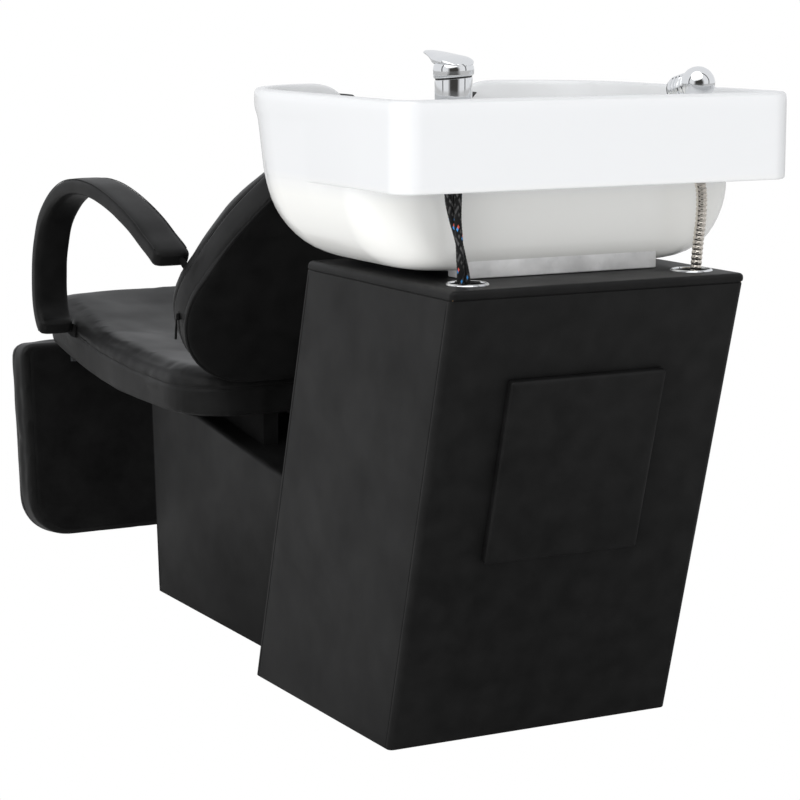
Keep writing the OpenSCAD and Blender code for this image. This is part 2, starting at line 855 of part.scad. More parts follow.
module hand_shower() {
    foot = 765;
    taper = 70;
    color("silver") at_shower() {
        translate([0, 0, spray_z]) sphere(d = spray_d);
        translate([0, 0, spray_z]) rotate([90 + spray_dip, 0, 0]) {
            cylinder(d = barrel_d, h = barrel_len);
            for (z = [31, 36]) translate([0, 0, z]) cylinder(d = barrel_d + 3, h = 3);
        }
        translate([0, 0, foot]) cylinder(r1 = 9, r2 = 12, h = taper);
        translate([0, 0, foot + taper - 0.5]) cylinder(r = 12, h = 40.5);
        translate([0, 0, deck_z + 4.3]) cylinder(r = 17, h = 6);
    }
}

module spray_face() {
    color("dimgray") at_shower() translate([0, 0, spray_z]) rotate([90 + spray_dip, 0, 0])
        translate([0, 0, barrel_len]) cylinder(d = barrel_d - 4, h = 3);
}

// ---- hoses ----

module cold_supply_hose() {
    color("black") hose(cold_route, hose_d, 8);
}

module hot_supply_hose() {
    color("black") hose(hot_route, hose_d, 8);
}

module mixed_water_hose() {
    color("black") hose(mixed_route, hose_d, 8);
}

module shower_hose() {
    color("silver") hose(shower_route, shower_hose_d, 10);
}

module supply_hose_nuts() {
    color("silver") for (route = [cold_route, hot_route]) at_end(route) difference() {
        cylinder(r = 12.5, h = nut_len);
        translate([0, 0, nut_len - 12]) cylinder(r = 9.3, h = 13);
    }
}

module hose_coupling() {
    color("silver") at_end(mixed_route) cylinder(r = 10, h = coupling_len);
}

pedestal_left_panel();
pedestal_right_panel();
pedestal_front_panel();
pedestal_rear_panel();
pedestal_top_board();
pedestal_floor_frame();
pedestal_cover();
base_left_panel();
base_right_panel();
base_front_panel();
base_top_board();
base_cover();
floor_glides();
joining_bolts();
hose_grommet_left();
hose_grommet_right();
seat_risers();
seat_board();
seat_cushion();
backrest_brackets();
backrest_board();
backrest_cushion();
backrest_rear_pad();
backrest_bolts();
zip_slider();
armrest_left();
armrest_right();
armrest_plates();
leg_rest_hinge_plates();
tilt_base_plate();
tilt_pin();
cold_supply_hose();
hot_supply_hose();
mixed_water_hose();
shower_hose();
supply_hose_nuts();
hose_coupling();
basin();
neck_rest();
basin_saddle();
tilt_top_plate();
waste_flange();
waste_nut();
waste_tail();
tap_body();
tap_seal();
tap_lock_nut();
shower_holder();
strainer();
tap_spindle();
tap_lever();
hand_shower();
spray_face();
leg_rest_board();
leg_rest_cushion();
leg_rest_arms();
leg_rest_pins();
access_panel_board();
access_panel_pad();
access_panel_pegs();
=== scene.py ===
"""Looks of the shampoo backwash unit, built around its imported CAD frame.

Lengths are millimetres in the CAD frame until a mesh is made; make() turns them into metres.
+Z is up, -Y is where the sitter faces, +X is the sitter's left.
"""
import math

import bmesh
import bpy
from mathutils import Matrix, Vector, noise
from mathutils.bvhtree import BVHTree


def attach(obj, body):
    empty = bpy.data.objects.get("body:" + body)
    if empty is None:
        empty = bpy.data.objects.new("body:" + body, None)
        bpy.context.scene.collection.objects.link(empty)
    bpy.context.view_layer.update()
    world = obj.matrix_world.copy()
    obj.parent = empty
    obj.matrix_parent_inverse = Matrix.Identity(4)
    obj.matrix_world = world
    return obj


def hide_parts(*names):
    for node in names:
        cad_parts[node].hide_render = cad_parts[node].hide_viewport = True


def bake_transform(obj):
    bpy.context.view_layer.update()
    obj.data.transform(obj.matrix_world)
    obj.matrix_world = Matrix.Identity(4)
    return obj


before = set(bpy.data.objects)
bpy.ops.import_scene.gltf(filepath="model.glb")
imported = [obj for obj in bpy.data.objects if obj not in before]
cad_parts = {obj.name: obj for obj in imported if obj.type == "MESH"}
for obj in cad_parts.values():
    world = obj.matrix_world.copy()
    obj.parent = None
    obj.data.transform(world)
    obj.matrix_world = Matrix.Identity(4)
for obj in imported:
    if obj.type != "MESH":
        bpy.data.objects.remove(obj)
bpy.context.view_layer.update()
MM = 0.001
CLOTH_FRAMES = 20
COVER = 2.4  # thickness of the leatherette with its backing


# ---- small maths

def smoothstep(a, b, x):
    t = min(1.0, max(0.0, (x - a) / (b - a)))
    return t * t * (3 - 2 * t)


def mix(a, b, t):
    return a + (b - a) * t


def arc(cx, cy, r, a0, a1, n):
    """n + 1 points on an arc, angles in degrees."""
    angles = [math.radians(mix(a0, a1, i / n)) for i in range(n + 1)]
    return [(cx + r * math.cos(a), cy + r * math.sin(a)) for a in angles]


def spread(start, end, n):
    """The n - 1 points that divide a line into n parts."""
    return [tuple(mix(p, q, i / n) for p, q in zip(start, end)) for i in range(1, n)]


def plan(hw, yf, yr, rf, rr, arcs, across, along):
    """Closed outline seen from above: a rectangle with round corners, with as many points at any size."""
    corners = [
        arc(hw - rr, yr - rr, rr, 0, 90, arcs),
        arc(rr - hw, yr - rr, rr, 90, 180, arcs),
        arc(rf - hw, yf + rf, rf, 180, 270, arcs),
        arc(hw - rf, yf + rf, rf, 270, 360, arcs),
    ]
    points = []
    for k, corner in enumerate(corners):
        points += corner
        points += spread(corner[-1], corners[(k + 1) % 4][0], (across, along)[k % 2])
    return points


def curve_through(points, step):
    """Catmull-Rom curve through points, sampled about every step."""
    p = [Vector(q) for q in points]
    p = [2 * p[0] - p[1]] + p + [2 * p[-1] - p[-2]]
    out = []
    for i in range(1, len(p) - 2):
        a, b, c, d = p[i - 1:i + 3]
        n = max(1, round((c - b).length / step))
        for k in range(n):
            t = k / n
            out.append(0.5 * (2 * b + (c - a) * t + (2 * a - 5 * b + 4 * c - d) * t * t
                              + (3 * b - a - 3 * c + d) * t ** 3))
    out.append(p[-2].copy())
    return out


def run_length(points):
    return sum((b - a).length for a, b in zip(points, points[1:]))


def placed(origin, up, out):
    """Matrix of a local frame with y along up and z along out, in millimetres."""
    y = Vector(up).normalized()
    z = Vector(out).normalized()
    x = y.cross(z)
    m = Matrix((x, y, z)).transposed().to_4x4()
    m.translation = Vector(origin)
    return m


# ---- mesh helpers

def shaded(obj, sharp=None):
    """Smooth shading; any edge over sharp degrees stays sharp."""
    obj.data.shade_smooth()
    if sharp:
        obj.data.set_sharp_from_angle(angle=math.radians(sharp))
    return obj


def make(name, verts, faces, material, matrix=None, sharp=35, uvs=None):
    """A mesh object from points in millimetres."""
    mesh = bpy.data.meshes.new(name)
    m = matrix or Matrix.Identity(4)
    mesh.from_pydata([tuple((m @ Vector(v)) * MM) for v in verts], [], faces)
    if uvs:
        layer = mesh.uv_layers.new(name="UVMap")
        for loop in mesh.loops:
            layer.data[loop.index].uv = uvs[loop.index]
    mesh.validate()
    mesh.update()
    bm = bmesh.new()
    bm.from_mesh(mesh)
    bmesh.ops.recalc_face_normals(bm, faces=bm.faces)
    bm.to_mesh(mesh)
    bm.free()
    obj = bpy.data.objects.new(name, mesh)
    bpy.context.scene.collection.objects.link(obj)
    mesh.materials.append(material)
    return shaded(obj, sharp)


def loft(rings, cap_first=True, cap_last=True, round_again=False):
    """Points and faces of a skin over closed rings of equal counts."""
    n = len(rings[0])
    verts = [p for ring in rings for p in ring]
    faces = []
    bands = len(rings) if round_again else len(rings) - 1
    for k in range(bands):
        a, b = k * n, ((k + 1) % len(rings)) * n
        faces += [(a + i, a + (i + 1) % n, b + (i + 1) % n, b + i) for i in range(n)]
    if not round_again:
        if cap_first:
            faces.append(tuple(reversed(range(n))))
        if cap_last:
            faces.append(tuple(range((len(rings) - 1) * n, len(rings) * n)))
    return verts, faces


def joined(parts):
    """One points-and-faces pair from several."""
    verts, faces = [], []
    for v, f in parts:
        faces += [tuple(i + len(verts) for i in face) for face in f]
        verts += v
    return verts, faces


def lathe(profile, segments=48, centre=(0, 0, 0), hexed=(1, 0)):
    """Solid of revolution about Z through centre, from (radius, z) pairs; hexagonal between the two z in hexed."""
    cx, cy, cz = centre
    rings = []
    for r, z in profile:
        ring = []
        for i in range(segments):
            a = 2 * math.pi * i / segments
            reach = r * hexagon(a) if hexed[0] <= z <= hexed[1] else r
            ring.append((cx + reach * math.cos(a), cy + reach * math.sin(a), cz + z))
        rings.append(ring)
    return loft(rings)


def hexagon(a):
    """Radius factor of a hexagon's side at angle a, 1 at the corners."""
    return math.cos(math.pi / 6) / math.cos((a + math.pi / 6) % (math.pi / 3) - math.pi / 6)


def ring_lathe(profile, segments=64, centre=(0, 0, 0)):
    """A turned ring: the profile is a closed (radius, z) outline."""
    rings = []
    for i in range(segments):
        a = 2 * math.pi * i / segments
        rings.append([(centre[0] + r * math.cos(a), centre[1] + r * math.sin(a), centre[2] + z) for r, z in profile])
    return loft(rings, round_again=True)


def frames_along(path):
    """A tangent and two normals at each point, turning as little as possible."""
    out = []
    side = None
    for i in range(len(path)):
        t = (path[min(i + 1, len(path) - 1)] - path[max(i - 1, 0)]).normalized()
        if side is None:
            side = t.orthogonal().normalized()
        side = (side - t * side.dot(t)).normalized()
        out.append((t, side, t.cross(side)))
    return out


def tube(path, radius, sides):
    """A round tube; radius is a number or a function of the distance run. Also gives (around, along) UVs."""
    rings, runs, run = [], [], 0.0
    for i, (p, (_, u, v)) in enumerate(zip(path, frames_along(path))):
        if i:
            run += (p - path[i - 1]).length
        r = radius(run) if callable(radius) else radius
        runs.append(run)
        rings.append([p + (u * math.cos(2 * math.pi * k / sides) + v * math.sin(2 * math.pi * k / sides)) * r
                      for k in range(sides)])
    verts, faces = loft(rings)
    uvs = []
    for face in faces:
        if len(face) != 4:
            uvs += [(0.0, 0.0)] * len(face)
            continue
        k, i = divmod(face[0], sides)
        uvs += [(i / sides, runs[k] * MM), ((i + 1) / sides, runs[k] * MM),
                ((i + 1) / sides, runs[k + 1] * MM), (i / sides, runs[k + 1] * MM)]
    return verts, faces, uvs


def apply_modifiers(obj):
    dg = bpy.context.evaluated_depsgraph_get()
    mesh = bpy.data.meshes.new_from_object(obj.evaluated_get(dg))
    obj.modifiers.clear()
    old = obj.data
    obj.data = mesh
    bpy.data.meshes.remove(old)
    return obj


def modified(obj, kind, **settings):
    """Adds a modifier, sets it and applies it."""
    m = obj.modifiers.new(kind, kind)
    for key, value in settings.items():
        setattr(m, key, value)
    return apply_modifiers(obj)


def bevelled(obj, width, segments=3, angle=30):
    modified(obj, "BEVEL", width=width * MM, segments=segments, limit_method="ANGLE",
             angle_limit=math.radians(angle), harden_normals=False)
    return shaded(obj, 40)


def subdivided(obj):
    return shaded(modified(obj, "SUBSURF", levels=1, render_levels=1))


def moved(solid, matrix):
    verts, faces = solid
    return [tuple(matrix @ Vector(v)) for v in verts], faces


def box_mesh(lo, hi):
    x, y, z = zip(lo, hi)
    verts = [(a, b, c) for c in z for b in y for a in x]
    return verts, [(0, 2, 3, 1), (4, 5, 7, 6), (0, 1, 5, 4), (2, 6, 7, 3), (0, 4, 6, 2), (1, 3, 7, 5)]


def prism(points, x0, x1):
    """A plate drawn in the side view (y, z), from x0 to x1."""
    return loft([[(x, y, z) for y, z in points] for x in (x0, x1)])


def cut(obj, parts):
    """Takes solids, given as points and faces in millimetres, out of obj."""
    for verts, faces in parts:
        tool = make("cutter", verts, faces, obj.data.materials[0], sharp=None)
        modified(obj, "BOOLEAN", operation="DIFFERENCE", solver="EXACT", object=tool)
        bpy.data.objects.remove(tool)
    return obj


def inflate(obj, pressure, cap, voxel):
    """Makes a closed form into stuffed leatherette: cloth under inner pressure, pushed out by cap mm at most."""
    modified(obj, "REMESH", mode="VOXEL", voxel_size=voxel * MM)
    start = [(v.co.copy(), n.vector.copy()) for v, n in zip(obj.data.vertices, obj.data.vertex_normals)]
    cloth = obj.modifiers.new("Cloth", "CLOTH")
    s = cloth.settings
    s.quality = 5
    s.mass = 0.4
    s.tension_stiffness = s.compression_stiffness = 15.0
    s.shear_stiffness = 5
    s.bending_stiffness = 2.0
    s.use_pressure = True
    s.uniform_pressure_force = pressure
    s.effector_weights.gravity = 0
    cloth.collision_settings.use_collision = False
    cloth.point_cache.frame_start = 1
    cloth.point_cache.frame_end = CLOTH_FRAMES
    for f in range(1, CLOTH_FRAMES + 1):
        bpy.context.scene.frame_set(f)
    apply_modifiers(obj)
    bpy.context.scene.frame_set(1)
    for v, (rest, out) in zip(obj.data.vertices, start):
        v.co = rest + out * min(max((v.co - rest).dot(out), 0.0), cap * MM)
    modified(obj, "SMOOTH", factor=0.5, iterations=2)
    return subdivided(obj)


def reshape(obj, change):
    """Moves each point of obj: change(point, normal) gives the new place, both in millimetres."""
    normals = [n.vector.copy() for n in obj.data.vertex_normals]
    for v, n in zip(obj.data.vertices, normals):
        v.co = change(v.co / MM, n) * MM
    obj.data.update()
    return obj


def ridden(obj, body, replaces=()):
    """obj rides on body and stands for CAD nodes, which are hidden."""
    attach(obj, body)
    if replaces:
        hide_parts(*replaces)
    return obj


def piece(name, solid, material, body, slot, replaces=(), fill=None, **looks):
    """A mesh made from points and faces that is ready to ride on body."""
    return ridden(make(name, *solid, material, **looks), body, replaces)


def thread(name, path, radius, sides, material, slot):
    """A seam, a piping or a zip along a path."""
    piece(name, tube(path, radius, sides)[:2], material, "stand", slot)


# ---- materials

def shader(name, **inputs):
    """A Principled material; an input's spaces are written as underscores."""
    m = bpy.data.materials.new(name)
    m.use_nodes = True
    bsdf = m.node_tree.nodes["Principled BSDF"]
    for key, value in inputs.items():
        bsdf.inputs[key.replace("_", " ")].default_value = value
    return m


def grey(v):
    return (v, v, v, 1.0)


def node(m, kind, settings=None, **inputs):
    """A node; an input that is a socket is linked, and any other is its value."""
    n = m.node_tree.nodes.new("ShaderNode" + kind)
    for key, value in (settings or {}).items():
        setattr(n, key, value)
    for key, value in inputs.items():
        name = key.replace("_", " ")
        socket = n.inputs[int(name[1:])] if name[0] == "i" and name[1:].isdigit() else n.inputs[name]
        if isinstance(value, bpy.types.NodeSocket):
            m.node_tree.links.new(value, socket)
        else:
            socket.default_value = value
    return n


def object_place(m):
    return node(m, "TexCoord").outputs["Object"]


def link_to(m, socket, name):
    m.node_tree.links.new(socket, m.node_tree.nodes["Principled BSDF"].inputs[name])


def noise_of(m, scale, detail=2.0, rough=0.5, place=None):
    return node(m, "TexNoise", Vector=place or object_place(m), Scale=scale, Detail=detail,
                Roughness=rough).outputs["Fac"]


def ranged(m, fac, low, high):
    """Drives the roughness between two values by a pattern."""
    out = node(m, "MapRange", Value=fac, From_Min=0.3, From_Max=0.7, To_Min=low, To_Max=high)
    link_to(m, out.outputs["Result"], "Roughness")


def coloured(m, fac, first, second, a=0.3, b=0.7):
    """Drives the base colour between two colours by a pattern."""
    ramp = node(m, "ValToRGB", Fac=fac)
    ramp.color_ramp.elements[0].position = a
    ramp.color_ramp.elements[1].position = b
    ramp.color_ramp.elements[0].color = first
    ramp.color_ramp.elements[1].color = second
    link_to(m, ramp.outputs["Color"], "Base Color")


def bumped(m, heights):
    """Bump from (pattern, strength, depth in mm) layers, coarse first."""
    normal = None
    for fac, strength, depth in heights:
        b = node(m, "Bump", Height=fac, Strength=strength, Distance=depth * MM)
        if normal:
            m.node_tree.links.new(normal, b.inputs["Normal"])
        normal = b.outputs["Normal"]
    link_to(m, normal, "Normal")


def leatherette(name, tone, rough=(0.40, 0.52), grain_mm=1.1, folds=0.0, ior=1.30):
    """Black vinyl: pebbled grain, patchy gloss and slow waves where it is pulled over the form."""
    m = shader(name, Base_Color=grey(tone), IOR=ior, Roughness=rough[0])
    place = object_place(m)
    cells = node(m, "TexVoronoi", {"feature": "SMOOTH_F1"}, Vector=place, Scale=1 / (grain_mm * MM),
                 Smoothness=0.4).outputs["Distance"]
    ranged(m, noise_of(m, 9, 3, place=place), *rough)
    coloured(m, noise_of(m, 30, 4, place=place), grey(tone * 0.75), grey(tone * 1.35))
    bumped(m, [(noise_of(m, 5, 1, place=place), 0.5, 2.0 + folds), (cells, 0.35, 0.12)])
    return m


def black_cloth(name):
    """Thin non-woven backing: fibrous, mottled and almost without gloss."""
    m = shader(name, Roughness=0.85, IOR=1.3)
    place = object_place(m)
    coloured(m, noise_of(m, 14, 6, 0.7, place), grey(0.0018), grey(0.0075), 0.35, 0.75)
    fibres = node(m, "TexNoise", Vector=place, Scale=900.0, Detail=3.0, Distortion=1.5).outputs["Fac"]
    bumped(m, [(noise_of(m, 22, 3, place=place), 0.6, 1.5), (fibres, 0.5, 0.2)])
    return m


def glazed_ceramic(name, tone):
    """White glaze, painted lighter and warmer below the band than on it: painted light on the bowl's underside and
    painted shade on the band.
    """
    m = shader(name, Base_Color=(*tone, 1), Roughness=0.14, IOR=1.5, Coat_Weight=0.35, Coat_Roughness=0.04)
    place = object_place(m)
    ranged(m, noise_of(m, 12, 2, place=place), 0.11, 0.20)
    height = node(m, "SeparateXYZ", Vector=place).outputs["Z"]
    # Painted light by height: the mask is 0 below 0.735 m, where the bowl gets a lighter warm white, and 1 above
    # 0.765 m, where the band keeps the darker tone as painted shade.
    rim = node(m, "MapRange", Value=height, From_Min=0.735, From_Max=0.765).outputs["Result"]
    coloured(m, rim, (0.925, 0.925, 0.90, 1), (*tone, 1), 0.0, 1.0)
    bumped(m, [(noise_of(m, 18, 1, place=place), 0.15, 0.6)])
    return m


def polished(name, tone, rough=(0.04, 0.09), scratch=0.03):
    m = shader(name, Metallic=1.0, Base_Color=(*tone, 1), Roughness=rough[0])
    place = object_place(m)
    ranged(m, noise_of(m, 60, 4, place=place), *rough)
    bumped(m, [(noise_of(m, 400, 3, place=place), scratch, 0.05)])
    return m


def moulded(name, tone, rough=(0.4, 0.55), texture_mm=0.5, strength=0.25, ior=1.45):
    """Moulded plastic, rubber or paint with a fine texture."""
    m = shader(name, Base_Color=(*tone, 1), Roughness=rough[0], IOR=ior)
    place = object_place(m)
    ranged(m, noise_of(m, 40, 3, place=place), *rough)
    coloured(m, noise_of(m, 25, 3, place=place), (*[c * 0.8 for c in tone], 1), (*[c * 1.15 for c in tone], 1))
    bumped(m, [(noise_of(m, 1 / (texture_mm * MM), 2, place=place), strength, 0.1)])
    return m


def chipboard(name):
    m = shader(name, Roughness=0.75, IOR=1.4)
    place = object_place(m)
    chips = node(m, "TexVoronoi", Vector=place, Scale=260.0, Randomness=1.0)
    coloured(m, chips.outputs["Color"], (0.22, 0.13, 0.065, 1), (0.50, 0.34, 0.19, 1), 0.0, 1.0)
    bumped(m, [(chips.outputs["Distance"], 0.4, 0.3)])
    return m


def braided(name, yarns=10, pitch=0.060):
    """Black braid: yarns wind both ways; two that wind to the right are red and blue, and four are grey."""
    m = shader(name, Roughness=0.6, IOR=1.35)
    uv = node(m, "SeparateXYZ", Vector=node(m, "TexCoord").outputs["UV"])
    around, along = uv.outputs["X"], uv.outputs["Y"]

    def maths(operation, a, b=0.0):
        return node(m, "Math", {"operation": operation}, i0=a, i1=b).outputs["Value"]

    turn = maths("DIVIDE", along, pitch)
    right = maths("MULTIPLY", maths("ADD", around, turn), float(yarns))
    left = maths("MULTIPLY", maths("SUBTRACT", around, turn), float(yarns))
    over = maths("ABSOLUTE", maths("MODULO", maths("ADD", maths("FLOOR", right), maths("FLOOR", left)), 2.0))

    def is_yarn(side, index):
        which = maths("FLOORED_MODULO", maths("FLOOR", side), float(yarns))
        return maths("COMPARE", which, float(index))

    def ridge(side):
        return maths("SINE", maths("MULTIPLY", maths("FRACT", side), math.pi))

    colour = grey(0.008)
    fleck = maths("COMPARE", maths("FLOORED_MODULO", maths("FLOOR", left), 4.0), 0.0)
    under = maths("SUBTRACT", 1.0, over)
    layers = [(right, 0, (0.62, 0.10, 0.07, 1), fleck), (right, 1, (0.06, 0.30, 0.70, 1), fleck),
              (right, 4, grey(0.09), over), (right, 7, grey(0.06), over),
              (left, 2, grey(0.07), under), (left, 6, grey(0.07), under)]
    for side, index, tone, where in layers:
        shown = maths("MULTIPLY", is_yarn(side, index), where)
        colour = node(m, "Mix", {"data_type": "RGBA"}, i0=shown, i6=colour, i7=tone).outputs[2]
    link_to(m, colour, "Base Color")
    height = node(m, "Mix", {"data_type": "FLOAT"}, i0=over, i2=ridge(left), i3=ridge(right)).outputs[0]
    bumped(m, [(height, 0.8, 0.5)])
    return m


PEDESTAL_SKIN = leatherette("pedestal_leatherette", 0.0065, (0.42, 0.55), 0.9)
SEAT_SKIN = leatherette("seat_leatherette", 0.0060, (0.36, 0.48), 1.0, 1.0, 1.285)
ARM_SKIN = leatherette("arm_skin", 0.0055, (0.36, 0.48), 0.8, ior=1.225)
BACKING = black_cloth("leg_rest_backing")
SEAM = moulded("seam_thread", (0.004, 0.004, 0.004), (0.6, 0.7), 0.4)
# The band's tone, set darker than the bowl below it as painted shade.
CERAMIC = glazed_ceramic("ceramic", (0.835, 0.845, 0.86))
FOOT_WHITE = moulded("foot_white", (0.88, 0.88, 0.88), (0.25, 0.35), 0.8, 0.1)
RUBBER = moulded("black_rubber", (0.012, 0.012, 0.012), (0.38, 0.5), 0.6, 0.3)
CHROME = polished("chrome", (0.86, 0.87, 0.88))
HOSE_METAL = polished("metal_hose", (0.74, 0.69, 0.62), (0.16, 0.26), 0.08)
ZINC = polished("zinc_steel", (0.62, 0.63, 0.65), (0.28, 0.4), 0.15)
BRASS = polished("brass", (0.80, 0.60, 0.28), (0.2, 0.3), 0.08)
BLACK_STEEL = moulded("black_steel", (0.006, 0.006, 0.006), (0.6, 0.75), 0.7, 0.35, ior=1.12)
BLACK_PLASTIC = moulded("black_plastic", (0.018, 0.018, 0.018), (0.45, 0.55), 0.5)
PEG_PLASTIC = moulded("peg_plastic", (0.75, 0.75, 0.72), (0.35, 0.45), 0.8, 0.15)
WOOD = chipboard("carcass_wood")
BRAID = braided("braided_hose")


# ---- camera, light and floor

def camera():
    data = bpy.data.cameras.new("camera")
    cam = bpy.data.objects.new("camera", data)
    bpy.context.scene.collection.objects.link(cam)
    data.sensor_width = 36.0
    data.lens = 111.65
    data.clip_end = 1000
    cam.location = (1.701, 3.398, 1.003)
    looks_down, heading = 9.42, 151.97
    cam.rotation_euler = (math.radians(90 - looks_down), 0, math.radians(heading))
    bpy.context.scene.camera = cam


def studio():
    """White room. Shiny things see the sky, a dark patch behind the viewer and a floor that is dimmer behind the
    unit; a soft key comes from above and a broad fill from the viewer's left."""
    scene = bpy.context.scene
    scene.view_settings.view_transform = "Standard"
    scene.view_settings.look = "None"
    world = bpy.data.worlds.new("studio")
    scene.world = world
    world.use_nodes = True
    links = world.node_tree.links
    last = world.node_tree.nodes["Background"]
    toward = node(world, "VectorMath", {"operation": "DOT_PRODUCT"}, i0=node(world, "TexCoord").outputs["Generated"],
                  i1=Vector((0.45, 0.88, 0.12)).normalized())
    ramp = node(world, "ValToRGB", Fac=toward.outputs["Value"])
    ramp.color_ramp.elements[0].color = (0.80, 0.81, 0.83, 1)
    ramp.color_ramp.elements[1].color = (0.05, 0.048, 0.045, 1)
    ramp.color_ramp.elements[1].position = 0.93
    for place_on, tone in ((0.24, 0.84), (0.28, 0.06), (0.36, 0.06), (0.40, 0.84), (0.80, 0.80)):
        ramp.color_ramp.elements.new(place_on).color = (tone, tone * 1.01, tone * 1.03, 1)
    links.new(ramp.outputs["Color"], last.inputs["Color"])
    rays = node(world, "LightPath")
    for ray, strength in (("Is Diffuse Ray", 0.54), ("Is Camera Ray", 1.0)):
        plain = node(world, "Background", Color=(1, 1, 1, 1), Strength=strength)
        last = node(world, "MixShader", i0=rays.outputs[ray], i1=last.outputs[0], i2=plain.outputs[0])
    links.new(last.outputs[0], world.node_tree.nodes["World Output"].inputs["Surface"])

    for name, energy, spread_of, toward, glossy in (("key", 1.0, 70, (0.42, 0.36, 0.83), True),
                                                    ("fill", 1.5, 60, (0.76, 0.60, -0.12), False)):
        light = bpy.data.lights.new(name, "SUN")
        light.energy = energy
        light.angle = math.radians(spread_of)
        lamp = bpy.data.objects.new(name, light)
        lamp.rotation_euler = Vector(toward).to_track_quat("Z", "Y").to_euler()
        lamp.visible_glossy = glossy
        scene.collection.objects.link(lamp)

    pale = shader("pale_floor", Roughness=0.9)
    ranged(pale, noise_of(pale, 3, 3), 0.85, 0.95)

    def vector_maths(operation, **inputs):
        return node(pale, "VectorMath", {"operation": operation}, **inputs)

    def maths(operation, a, b):
        return node(pale, "Math", {"operation": operation}, i0=a, i1=b).outputs["Value"]

    def fade(value, start, end, low, high):
        return node(pale, "MapRange", Value=value, From_Min=start, From_Max=end, To_Min=low,
                    To_Max=high).outputs["Result"]

    away = vector_maths("DISTANCE", i0=object_place(pale), i1=(-0.12, 1.0, 0.0)).outputs["Value"]
    bearing = vector_maths("NORMALIZE", i0=object_place(pale)).outputs["Vector"]
    ahead = vector_maths("DOT_PRODUCT", i0=bearing, i1=(0.455, 0.89, 0.0)).outputs["Value"]
    dim = maths("MULTIPLY", fade(ahead, 0.80, 0.95, 0.0, 1.0), fade(away, 1.5, 3.0, 0.0, 0.9))
    mirrored = maths("MULTIPLY", fade(away, 0.15, 0.8, 0.10, 0.60), maths("SUBTRACT", 1.0, dim))
    glossy = node(pale, "LightPath").outputs["Is Glossy Ray"]
    tone = node(pale, "Mix", {"data_type": "FLOAT"}, i0=glossy, i2=0.92, i3=mirrored)
    link_to(pale, tone.outputs[0], "Base Color")
    half = 60000
    floor = make("floor", [(-half, -half, 0), (half, -half, 0), (half, half, 0), (-half, half, 0)],
                 [(0, 1, 2, 3)], pale, sharp=None)
    floor.visible_camera = False
    floor.visible_shadow = False


# ---- hoses

ROUTES = {
    "cold_supply_hose": [
        (178, 696, 805), (180, 698, 775), (183, 701, 745), (184, 702, 719), (182, 702, 694), (180, 701, 669),
        (178, 699, 644), (178, 692, 605), (176, 676, 560), (177, 660, 512), (181, 642, 465), (183, 631, 410),
        (181, 619, 355), (177, 606, 300), (174, 593, 250), (174, 580, 200), (176, 567, 150), (178, 555, 95)],
    "hot_supply_hose": [
        (192, 693, 805), (193, 694, 775), (193, 694, 745), (185, 690, 719), (177, 690, 694), (171, 691, 669),
        (167, 694, 644), (163, 692, 605), (146, 676, 560), (133, 661, 512), (128, 644, 465), (126, 631, 410),
        (127, 619, 355), (129, 605, 300), (132, 591, 250), (135, 577, 200), (137, 563, 150), (138, 550, 95)],
    "mixed_water_hose": [
        (184, 681, 805), (182, 682, 775), (179, 682, 745), (174, 679, 719), (170, 679, 694), (167, 680, 669),
        (165, 682, 644), (158, 681, 605), (136, 662, 560), (114, 648, 512), (101, 637, 475), (96, 632, 450),
        (96, 622, 400)],
    "shower_hose": [
        (-183, 690, 762), (-188, 695, 742), (-188, 696, 707), (-185, 695, 673), (-182, 695, 638),
        (-181, 692, 595), (-183, 684, 550), (-187, 670, 500), (-190, 655, 450), (-191, 640, 400),
        (-190, 625, 350), (-188, 611, 300), (-184, 597, 250), (-177, 583, 200), (-165, 570, 155),
        (-146, 559, 115), (-121, 551, 84), (-91, 546, 64), (-58, 544, 55), (-25, 544, 58), (5, 546, 67),
        (33, 549, 84), (58, 553, 108), (76, 559, 139), (87, 567, 176), (92, 577, 215), (95, 588, 255),
        (96, 599, 295), (96, 609, 335), (96, 616, 370)],
}


def braid_radius(run):
    return 4.85 + 0.12 * math.sin(run * 2 * math.pi / 4.2)


def coil_radius(run):
    """Ridges of a wound metal hose, one each 6.4 mm."""
    return 6.0 + 1.5 * math.sqrt(abs(math.sin(math.pi * run / 6.4)))


def on_route_end(route):
    """Matrix whose z runs on from a route's last stretch."""
    tip, before = Vector(route[-1]), Vector(route[-2])
    z = (tip - before).normalized()
    return placed(tip, z.orthogonal(), z)


def route_fitting(name, route, profile, hexed):
    """A chromed fitting on a route's end: (radius, distance) pairs, hexagonal between the distances in hexed."""
    return make(name, *lathe(profile, 36, hexed=hexed), CHROME, matrix=on_route_end(route), sharp=30)


def hoses():
    nut = [(5.2, -1), (6.5, -0.6), (6.5, 1.5), (10.5, 2), (12.4, 3), (12.4, 20.6), (11.4, 21.9), (9.3, 21.9),
           (9.3, 10), (4, 10)]
    ends = {}
    for hose in ("cold_supply_hose", "hot_supply_hose"):
        name = hose.replace("hose", "nut")
        ends[hose] = route_fitting(name, ROUTES[hose], nut, (3, 20.6))
        ridden(ends[hose], "stand", ["supply_hose_nuts"])
    union = [(5.2, 0.0), (7.5, 0.2), (8.2, 1), (8.2, 8), (9.8, 9), (9.8, 20), (8.6, 21), (8.6, 29), (7.6, 30.4),
             (6, 30.6)]
    ends["mixed_water_hose"] = route_fitting("hose_union", ROUTES["mixed_water_hose"], union, (9, 20))
    ridden(ends["mixed_water_hose"], "stand", ["hose_coupling"])
    ends["shower_hose"] = ends["mixed_water_hose"]
    for name, route in ROUTES.items():
        metal = name == "shower_hose"
        path = curve_through(route, 0.8 if metal else 1.4)
        verts, faces, uvs = tube(path, coil_radius if metal else braid_radius, 20 if metal else 16)
        obj = make(name, verts, faces, HOSE_METAL if metal else BRAID, uvs=uvs, sharp=None)
        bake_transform(obj)
        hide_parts(name)
        if metal:
            slack_hose(path)


